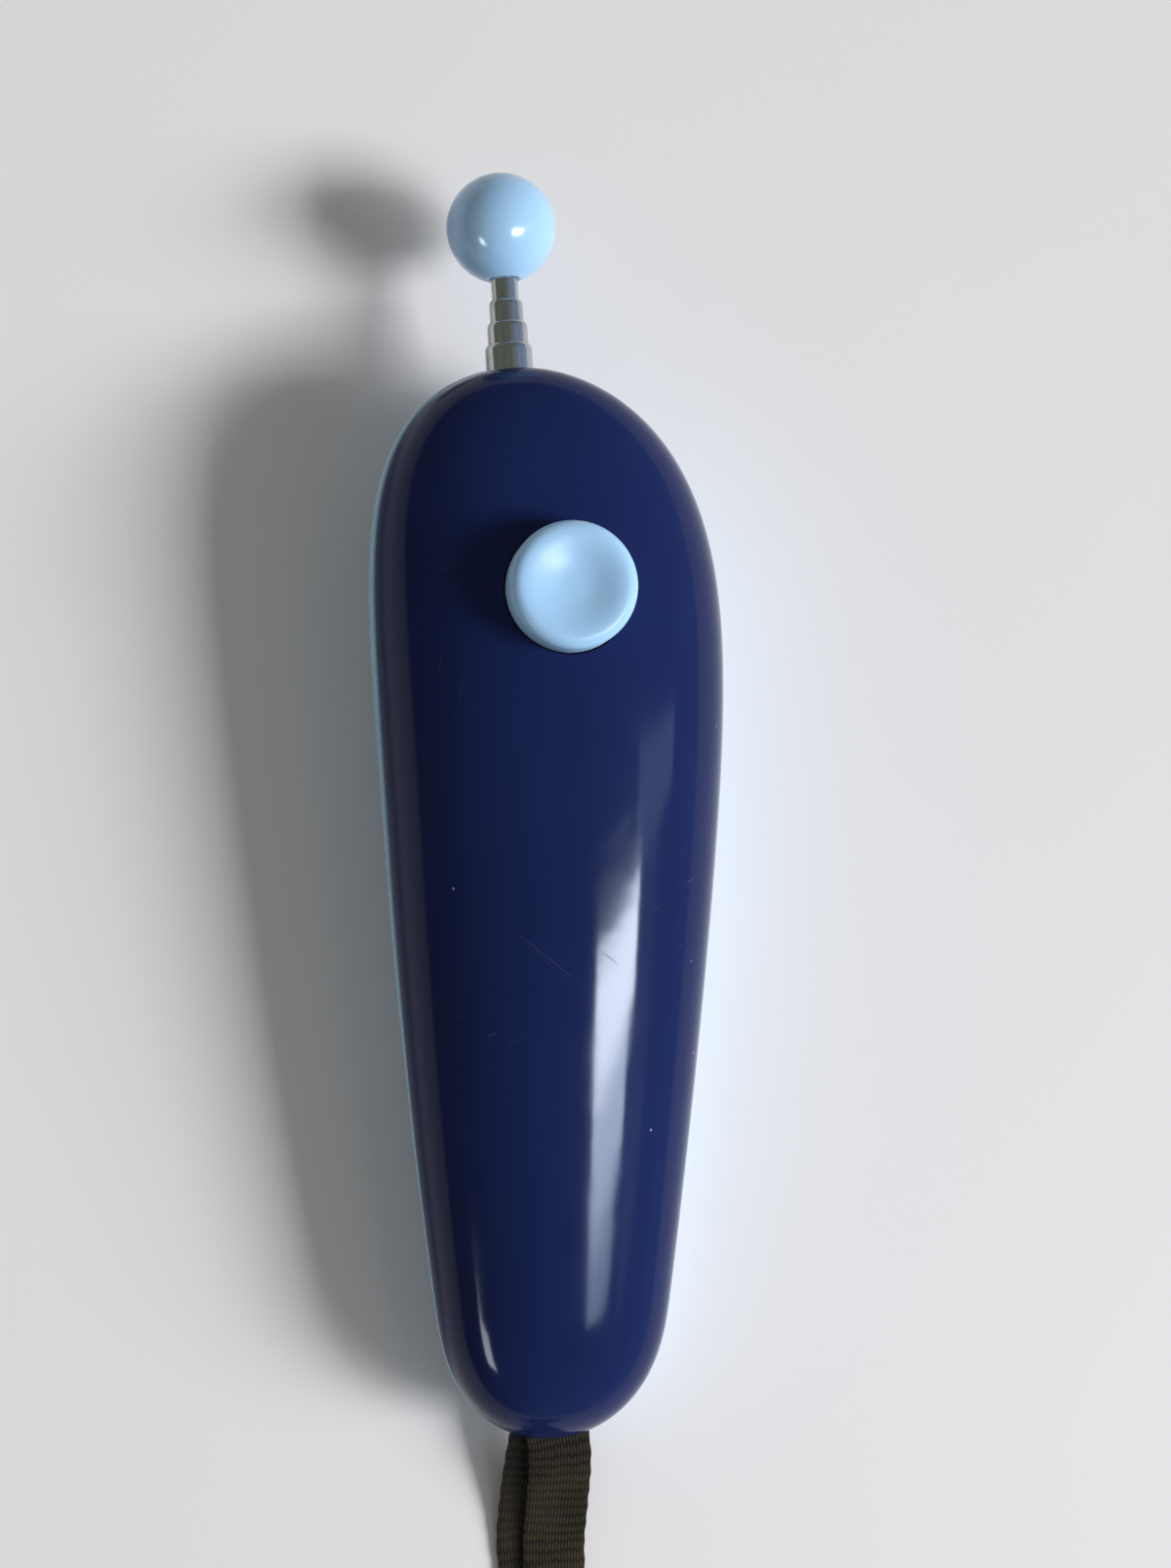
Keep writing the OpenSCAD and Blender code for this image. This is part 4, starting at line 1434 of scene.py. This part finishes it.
@dataclass
class WristStrap:
    """A loop of webbing round the pin in the tail: two runs that come out one over the other and then stand
    on edge.

    A point of a run holds its distance sideways and behind the tail, its height, the face's lean from
    straight up and the way it faces in plan, in millimetres and degrees.
    """

    form: CasingForm
    width: float = 6.5
    thickness: float = 1.0
    side_power: float = 0.42
    face_power: float = 0.55
    section_points: int = 56
    pin_d: float = 2.5
    pin_back: float = 4.4
    pin_z: float = 5.35
    pin_gap: float = 0.15
    pin_turn: tuple = (-105, 106, 30)
    steps: int = 10
    ripple: float = 0.014
    ripple_len: float = 2.1
    selvage_from: float = 0.44
    sharp: float = 60.0
    upper: tuple = (
        (0.1, -1.8, 6.35, 0, 0), (0.7, 0.4, 6.1, 0, 0), (0.8, 3.5, 5.3, 0, 0), (0.5, 8, 3.1, 0, 0),
        (0.1, 12.5, 1.66, 0, 0), (0, 18, 1.75, 2, 0), (0.3, 25, 2.9, 24, 0), (0.6, 33, 3.8, 52, 0),
        (0.7, 41, 3.85, 76, 0), (0.9, 49, 3.35, 90, 0), (3, 61, 3.35, 90, -14), (7.6, 75, 3.35, 90, -17),
        (11.6, 90, 3.35, 90, -8), (12.2, 105, 3.35, 90, 12), (9, 118, 3.35, 90, 42), (3, 125.5, 3.35, 90, 72))
    lower: tuple = (
        (-4, 126.5, 3.35, 90, 102), (-10.5, 121, 3.35, 90, 132), (-14.6, 109, 3.35, 90, 162),
        (-14.6, 94, 3.35, 90, 184), (-11, 78, 3.35, 90, 196), (-5.4, 63, 3.35, 90, 197),
        (-0.9, 49, 3.35, 90, 186), (-0.6, 41, 3.45, 104, 180), (-0.5, 33, 3.05, 128, 180),
        (-1.2, 25, 1.9, 156, 180), (-2.1, 18, 0.65, 178, 180), (-2.5, 12.5, 0.53, 180, 180),
        (-2.1, 8, 1.5, 180, 180), (-1.5, 3.5, 3.4, 180, 180), (-0.9, 0.4, 4.6, 180, 180),
        (-0.1, -1.8, 4.35, 180, 180))

    def keys(self) -> np.ndarray:
        """The route's points with the way the outer face looks: upper run, lower run, then round the pin.

        Returns:
            Rows of six numbers, in millimetres and as a unit vector.
        """
        rows = np.array(self.upper + self.lower, float)
        lean, facing = np.radians(rows[:, 3]), np.radians(rows[:, 4])
        tail_x, tail_y = self.form.tail_x, self.form.tail_y
        runs = np.stack([
            tail_x + rows[:, 0], tail_y - rows[:, 1], rows[:, 2],
            np.sin(lean) * np.cos(facing), -np.sin(lean) * np.sin(facing), np.cos(lean)], -1)
        turn = np.radians(np.arange(*self.pin_turn))
        r = (self.pin_d + self.thickness) / 2 + self.pin_gap
        back, up = np.cos(turn), np.sin(turn)
        round_pin = np.stack([
            tail_x + 0 * turn, tail_y + self.pin_back + r * back, self.pin_z + r * up,
            0 * turn, back, up], -1)
        return np.concatenate([runs, round_pin])

    def line(self) -> tuple:
        """The loop's middle line and its outer face, by the Catmull-Rom blend of four keys.

        Returns:
            The points and the unit vectors, in rows.
        """
        k = self.keys()
        a, b, c, d = (np.roll(k, shift, 0)[:, None] for shift in (1, 0, -1, -2))
        t = (np.arange(self.steps) / self.steps)[None, :, None]
        square, cube = (2 * a - 5 * b + 4 * c - d) * t ** 2, (3 * b - a - 3 * c + d) * t ** 3
        rows = (0.5 * (2 * b + (c - a) * t + square + cube)).reshape(-1, 6)
        return rows[:, :3], rows[:, 3:]

    def section(self) -> np.ndarray:
        """The webbing's flat section: a wide superellipse with full selvages.

        Across, it is half the width times the cosine to a power, and through, half the thickness times the
        sine to another.

        Returns:
            Rows of places across the webbing and through it.
        """
        a = np.linspace(0, 2 * np.pi, self.section_points, endpoint=False)
        x = np.sign(np.cos(a)) * np.abs(np.cos(a)) ** self.side_power * self.width / 2
        z = np.sign(np.sin(a)) * np.abs(np.sin(a)) ** self.face_power * self.thickness / 2
        return np.stack([x, z], -1)

    def build(self, finishes: Finishes) -> bpy.types.Object:
        """The selvages swell and shrink a little along the line as a cosine.

        Args:
            finishes: The materials.

        Returns:
            The strap.
        """
        points, face = self.line()
        along = np.roll(points, -1, 0) - np.roll(points, 1, 0)
        along /= np.linalg.norm(along, axis=1, keepdims=True)
        across = np.cross(along, face)
        across /= np.linalg.norm(across, axis=1, keepdims=True)
        out = np.cross(across, along)
        section = self.section()
        reach = np.linalg.norm(np.roll(points, -1, 0) - points, axis=1)
        run = np.concatenate([[0], np.cumsum(reach)])
        wave = np.cos(2 * np.pi * run[:-1] / self.ripple_len)[:, None]
        at_selvage = np.abs(section[None, :, 0]) > self.width * self.selvage_from
        swell = 1 + self.ripple * wave * at_selvage
        body = (
            points[:, None] + across[:, None] * (section[None, :, 0] * swell)[..., None]
            + out[:, None] * section[None, :, 1, None])
        n, m = body.shape[:2]
        faces = grid_faces(n, m, True, True).tolist()
        strap = make_object("wrist_webbing", body.reshape(-1, 3), faces, outward=False)
        turn_outward(strap, merge=False)
        self.map_weave(strap, run, section[:, 0])
        shade(strap, self.sharp)
        settle(strap, "handle", Slot.WEBBING, finishes.webbing, "wrist_strap")
        LOG.info("the strap's loop is %.0f mm round", run[-1])
        return strap

    def map_weave(self, strap: bpy.types.Object, run: np.ndarray, across: np.ndarray) -> None:
        """Writes a UV map that holds metres along and across the webbing.

        A face that closes the loop has its corners on the first row at the loop's whole length.

        Args:
            strap: The webbing, a closed grid of four-sided faces.
            run: Length along the line at each row, and at the first row once more.
            across: Place across the webbing of each point of the section.
        """
        mesh = strap.data
        corners = np.empty(len(mesh.loops), np.int32)
        mesh.loops.foreach_get("vertex_index", corners)
        row, place = np.divmod(corners.reshape(-1, 4), len(across))
        closes = np.ptp(row, axis=1)[:, None] > 1
        length = np.where(closes & (row == 0), run[-1], run[row])
        uv = np.stack([length, across[place]], -1) * MM
        mesh.uv_layers.new(name="weave").uv.foreach_set("vector", uv.astype(np.float32).ravel())


# --- inner works ------------------------------------------------------------------------


@dataclass
class ClickReed:
    """The sprung strip that clicks: two flat feet, a bow between them, and a dimple where the stem pushes.

    It is made as two halves that meet in the middle.
    """

    thickness: float = 0.4
    foot_len: float = 2.0
    pushed_r: float = 2.5
    dimple_depth: float = 0.18
    dimple_r: float = 1.9
    edge_round: float = 0.06
    cols: int = 37
    rows: int = 97
    sharp: float = 40.0

    def height(self, x: np.ndarray, y: np.ndarray, half: float, rise: float) -> np.ndarray:
        """Height of the strip's middle over its feet.

        The bow is an arc of a circle: its radius is half the sum of the squares of the half length and the
        rise, over the rise. The dimple is a cosine: half its depth times one plus the cosine of the distance.

        Args:
            x: Distances across from the strip's centre.
            y: Distances along from it.
            half: Half of the bowed length.
            rise: The bow's rise.

        Returns:
            The heights, in millimetres.
        """
        radius = (half * half + rise * rise) / (2 * rise)
        bow = np.sqrt(radius * radius - np.minimum(np.abs(y), half) ** 2) - (radius - rise)
        away = np.minimum(np.sqrt(x * x + y * y) / self.dimple_r, 1)
        return bow - self.dimple_depth * (1 + np.cos(np.pi * away)) / 2

    def build(self, finishes: Finishes) -> None:
        """Builds both halves and gives them their finish.

        Args:
            finishes: The materials.
        """
        low, high = node_box("click_reed")
        size = high - low
        centre = np.array([*(low + high)[:2] / 2, low[2]])
        reach = size[1] / 2
        half, rise, half_t = reach - self.foot_len, size[2] - self.thickness, self.thickness / 2
        across = np.linspace(-size[0] / 2, size[0] / 2, self.cols)[None, :]
        n, m = self.rows, self.cols
        at = np.arange(n * m).reshape(n, m)
        ring = np.concatenate([at[0], at[1:, -1], at[-1, -2::-1], at[-2:0:-1, 0]])
        after = np.roll(ring, -1)
        rim = np.stack([ring, after, after + n * m, ring + n * m], -1).tolist()
        sheet = grid_faces(n, m, False, False)
        for name, way in (("reed_front_half", 1), ("reed_back_half", -1)):
            y = way * np.linspace(0, reach, n)[:, None] + 0 * across
            x = across + 0 * y
            middle = self.height(x, y, half, rise) + half_t
            thin = np.full(x.shape, half_t)
            thin[:, [0, -1]] -= self.edge_round
            points = np.stack([np.stack([x, y, middle + side * thin], -1) for side in (1, -1)])
            faces = sheet.tolist() + (sheet + n * m).tolist() + rim
            piece = make_object(name, points.reshape(-1, 3) + centre, faces)
            shade(piece, self.sharp)
            piece.data.materials.append(finishes.steel)
            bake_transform(piece)
            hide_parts("click_reed")
            LOG.info("%s bends between the handle and the button", name)


@dataclass
class InnerWorks:
    """The pieces that keep their CAD shape and take a finish: frame, anchor, rings, stud, pin and screws."""

    rings: int = 6

    def dress(self, finishes: Finishes) -> None:
        """Puts a finish on every CAD node that stays.

        Args:
            finishes: The materials.
        """
        plan = {
            "clicker_frame": finishes.black_plastic, "tube_anchor": finishes.brass,
            "anchor_screw": finishes.steel, "tip_stud": finishes.brass, "strap_pin": finishes.steel,
            "case_screws": finishes.steel, **{f"ring_{k + 1}": finishes.brass for k in range(self.rings)}}
        for node, material in plan.items():
            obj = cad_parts[node]
            obj.data.materials.clear()
            obj.data.materials.append(material)
            LOG.info("%s keeps its CAD shape", node)


# --- studio -----------------------------------------------------------------------------


class ShowsIn(Enum):
    """Where a panel of light shows."""

    GLOSS = "gloss"
    LIGHT = "light"


@dataclass(frozen=True)
class LightPanel:
    """A level panel of light that faces straight down, placed in metres.

    Its radiance is how bright it looks, where white paper in full light is 1. One that shows in light only
    lights and casts shadows, and one that shows in gloss is only an image of something bright in the room.
    """

    name: str
    low: tuple
    high: tuple
    height: float
    radiance: float
    colour: tuple
    shows_in: ShowsIn

    def build(self) -> None:
        """Hangs the panel."""
        width, length = self.high[0] - self.low[0], self.high[1] - self.low[1]
        data = bpy.data.lights.new(self.name, "AREA")
        data.shape = "RECTANGLE"
        data.size, data.size_y = width, length
        data.energy = self.radiance * math.pi * width * length
        data.color = self.colour
        obj = bpy.data.objects.new(self.name, data)
        obj.location = ((self.low[0] + self.high[0]) / 2, (self.low[1] + self.high[1]) / 2, self.height)
        obj.visible_camera = False
        obj.visible_glossy = self.shows_in is ShowsIn.GLOSS
        obj.visible_diffuse = self.shows_in is ShowsIn.LIGHT
        bpy.context.scene.collection.objects.link(obj)


@dataclass
class Studio:
    """Camera, pale table, window light and the room that shows in the gloss.

    The camera's place is in millimetres and its roll in radians. The room's places are in metres.
    """

    camera_at: tuple = (-35.7, -10.2, 268.5)
    looks_at: tuple = (5.71, 1.65, 8.0)
    roll: float = -0.0625
    focal_px: float = 2600.0
    sensor_h: float = 24.0
    clip_from: float = 0.01
    table_half: float = 0.85
    table_colour: tuple = (0.80, 0.785, 0.80)
    dome_r: float = 3.2
    dome_foot: float = -0.12
    dome_rows: int = 13
    dome_cols: int = 32
    room_dark: tuple = (0.130, 0.143, 0.121)
    room_pale: tuple = (0.26, 0.34, 0.50)
    room_from: float = -0.25
    room_to: float = 3.1
    room_slant: float = -0.3
    room_cloud: tuple = (0.8, 1.2)
    lamp_z: float = 3.0
    image_z: float = 1.12
    pane_left: float = 0.37
    daylight: tuple = (0.98, 0.99, 1.0)
    fill_colour: tuple = (1.0, 0.97, 0.89, 1.0)
    fill_strength: float = 0.23
    backdrop_colour: tuple = (0.93, 0.945, 0.97, 1.0)
    backdrop_strength: float = 0.9

    def build_camera(self) -> None:
        """Places the camera and gives it the frame's angle of view."""
        data = bpy.data.cameras.new("camera")
        data.sensor_fit = "VERTICAL"
        data.sensor_height = self.sensor_h
        data.lens = self.sensor_h * self.focal_px / VIEW_H
        data.clip_start = self.clip_from
        eye, target = Vector(self.camera_at) * MM, Vector(self.looks_at) * MM
        back = (eye - target).normalized()
        right = Vector((0, 1, 0)).cross(back).normalized()
        up = back.cross(right)
        c, s = math.cos(self.roll), math.sin(self.roll)
        right, up = c * right + s * up, c * up - s * right
        camera = bpy.data.objects.new("camera", data)
        rows = [(right[k], up[k], back[k], eye[k]) for k in range(3)]
        camera.matrix_world = Matrix((*rows, (0, 0, 0, 1)))
        bpy.context.scene.collection.objects.link(camera)
        bpy.context.scene.camera = camera

    def build_room(self) -> None:
        """A dim dome that only shines in gloss, as the room round the table does: dark to the left and above,
        and paler and bluer towards the window."""
        rows, cols = self.dome_rows, self.dome_cols
        lift = np.linspace(self.dome_foot, np.pi / 2, rows)[:, None]
        turn = np.linspace(0, 2 * np.pi, cols, endpoint=False)[None, :]
        level = np.cos(lift)
        points = self.dome_r * np.stack(
            [level * np.cos(turn), level * np.sin(turn), np.sin(lift) + 0 * turn], -1).reshape(-1, 3)
        faces = grid_faces(rows, cols, False, True).tolist()
        dome = make_object("room_dome", points / MM, faces, outward=False)
        dome.data.shade_smooth()
        material, graph, here = new_material("room tone")
        parts = graph.add("ShaderNodeSeparateXYZ", Vector=here)
        place = graph.math("MULTIPLY_ADD", parts.outputs[1], self.room_slant, parts.outputs[0])
        side = graph.span(place, self.room_from, self.room_to)
        cloud = graph.span(graph.noise(here, scale=1.0), *SOFT_EDGE, *self.room_cloud)
        tone = graph.blend(side, self.room_dark, self.room_pale)
        glow = graph.add("ShaderNodeEmission", Color=tone, Strength=cloud)
        graph.add("ShaderNodeOutputMaterial", Surface=glow.outputs[0])
        dome.data.materials.append(material)
        dome.visible_camera = dome.visible_diffuse = dome.visible_shadow = dome.visible_transmission = False

    def build_table(self) -> None:
        """A large flat table under the clicker."""
        half = self.table_half / MM
        corners = np.array([(-half, -half, 0), (half, -half, 0), (half, half, 0), (-half, half, 0)])
        table = make_object("table", corners, [(0, 1, 2, 3)], outward=False)
        table.data.materials.append(Tabletop("pale laminate", self.table_colour).build())

    def panels(self) -> list:
        """The window's and the wall's light, and what shows in the gloss: three panes, a curtain, a lamp and
        a soft glow.

        Returns:
            The panels, in the order in which they are hung.
        """
        light, gloss = ShowsIn.LIGHT, ShowsIn.GLOSS
        result = [
            LightPanel("window_light", (2.72, -2.04), (5.12, -0.36), self.lamp_z, 31.0, self.daylight, light),
            LightPanel("wall_light", (5.12, -1.92), (7.68, 0.0), self.lamp_z, 13.5, self.daylight, light)]
        # Front, back and right edge, radiance and colour of each pane, from the brightest on.
        panes = (
            (-0.42, -0.294, 0.96, 70.0, (0.80, 0.88, 1.0)), (-0.55, -0.42, 0.86, 34.0, (0.72, 0.84, 1.0)),
            (-0.66, -0.55, 0.74, 13.0, (0.64, 0.80, 1.0)))
        for k, (front, back, right, radiance, colour) in enumerate(panes):
            low, high = (self.pane_left, front), (right, back)
            result.append(LightPanel(f"pane_image_{k}", low, high, self.image_z, radiance, colour, gloss))
        # Lowest and highest corner, radiance and colour of each of the others.
        images = (
            ("curtain_image", (0.86, -0.30), (2.20, -0.12), 3.2, (0.58, 0.75, 1.0)),
            ("lamp_image", (-2.10, -1.75), (-1.50, -0.95), 19.0, (0.85, 0.92, 1.0)),
            ("glow_image", (0.98, -0.80), (1.50, -0.30), 0.9, (0.55, 0.72, 1.0)))
        for name, low, high, radiance, colour in images:
            result.append(LightPanel(name, low, high, self.image_z, radiance, colour, gloss))
        return result

    def build_lights(self) -> None:
        """Hangs the panels and sets the room's even light, which shows as a pale backdrop."""
        for panel in self.panels():
            panel.build()
        world = bpy.data.worlds.new("room")
        world.use_nodes = True
        graph = Graph(world.node_tree)
        path = graph.add("ShaderNodeLightPath")
        seen = graph.math("MAXIMUM", path.outputs["Is Camera Ray"], path.outputs["Is Glossy Ray"])
        seen = graph.math("MAXIMUM", seen, path.outputs["Is Transmission Ray"])
        light = graph.add("ShaderNodeBackground", Color=self.fill_colour, Strength=self.fill_strength)
        pale = graph.add("ShaderNodeBackground", Color=self.backdrop_colour, Strength=self.backdrop_strength)
        mix = graph.add("ShaderNodeMixShader")
        for key, value in (("#0", seen), ("#1", light.outputs[0]), ("#2", pale.outputs[0])):
            graph.put(mix, key, value)
        graph.add("ShaderNodeOutputWorld", Surface=mix.outputs[0])
        bpy.context.scene.world = world

    def build(self) -> None:
        """Sets up all but the camera."""
        bpy.context.scene.view_settings.view_transform = "Standard"
        self.build_table()
        self.build_lights()
        self.build_room()


def main() -> None:
    """Builds the clicker trainer and its studio in order."""
    logging.basicConfig(level=logging.INFO, format="%(name)s: %(message)s")
    studio = Studio()
    studio.build_camera()
    finishes = Finishes.make()
    form = CasingForm.from_frame()
    WristStrap(form).build(finishes)
    TopCover(form).build(finishes)
    BottomCasing(form).build(finishes)
    ThumbButton().build(finishes)
    TelescopicStick().build(finishes)
    ClickReed().build(finishes)
    InnerWorks().dress(finishes)
    studio.build()


if __name__ == "__main__":
    main()
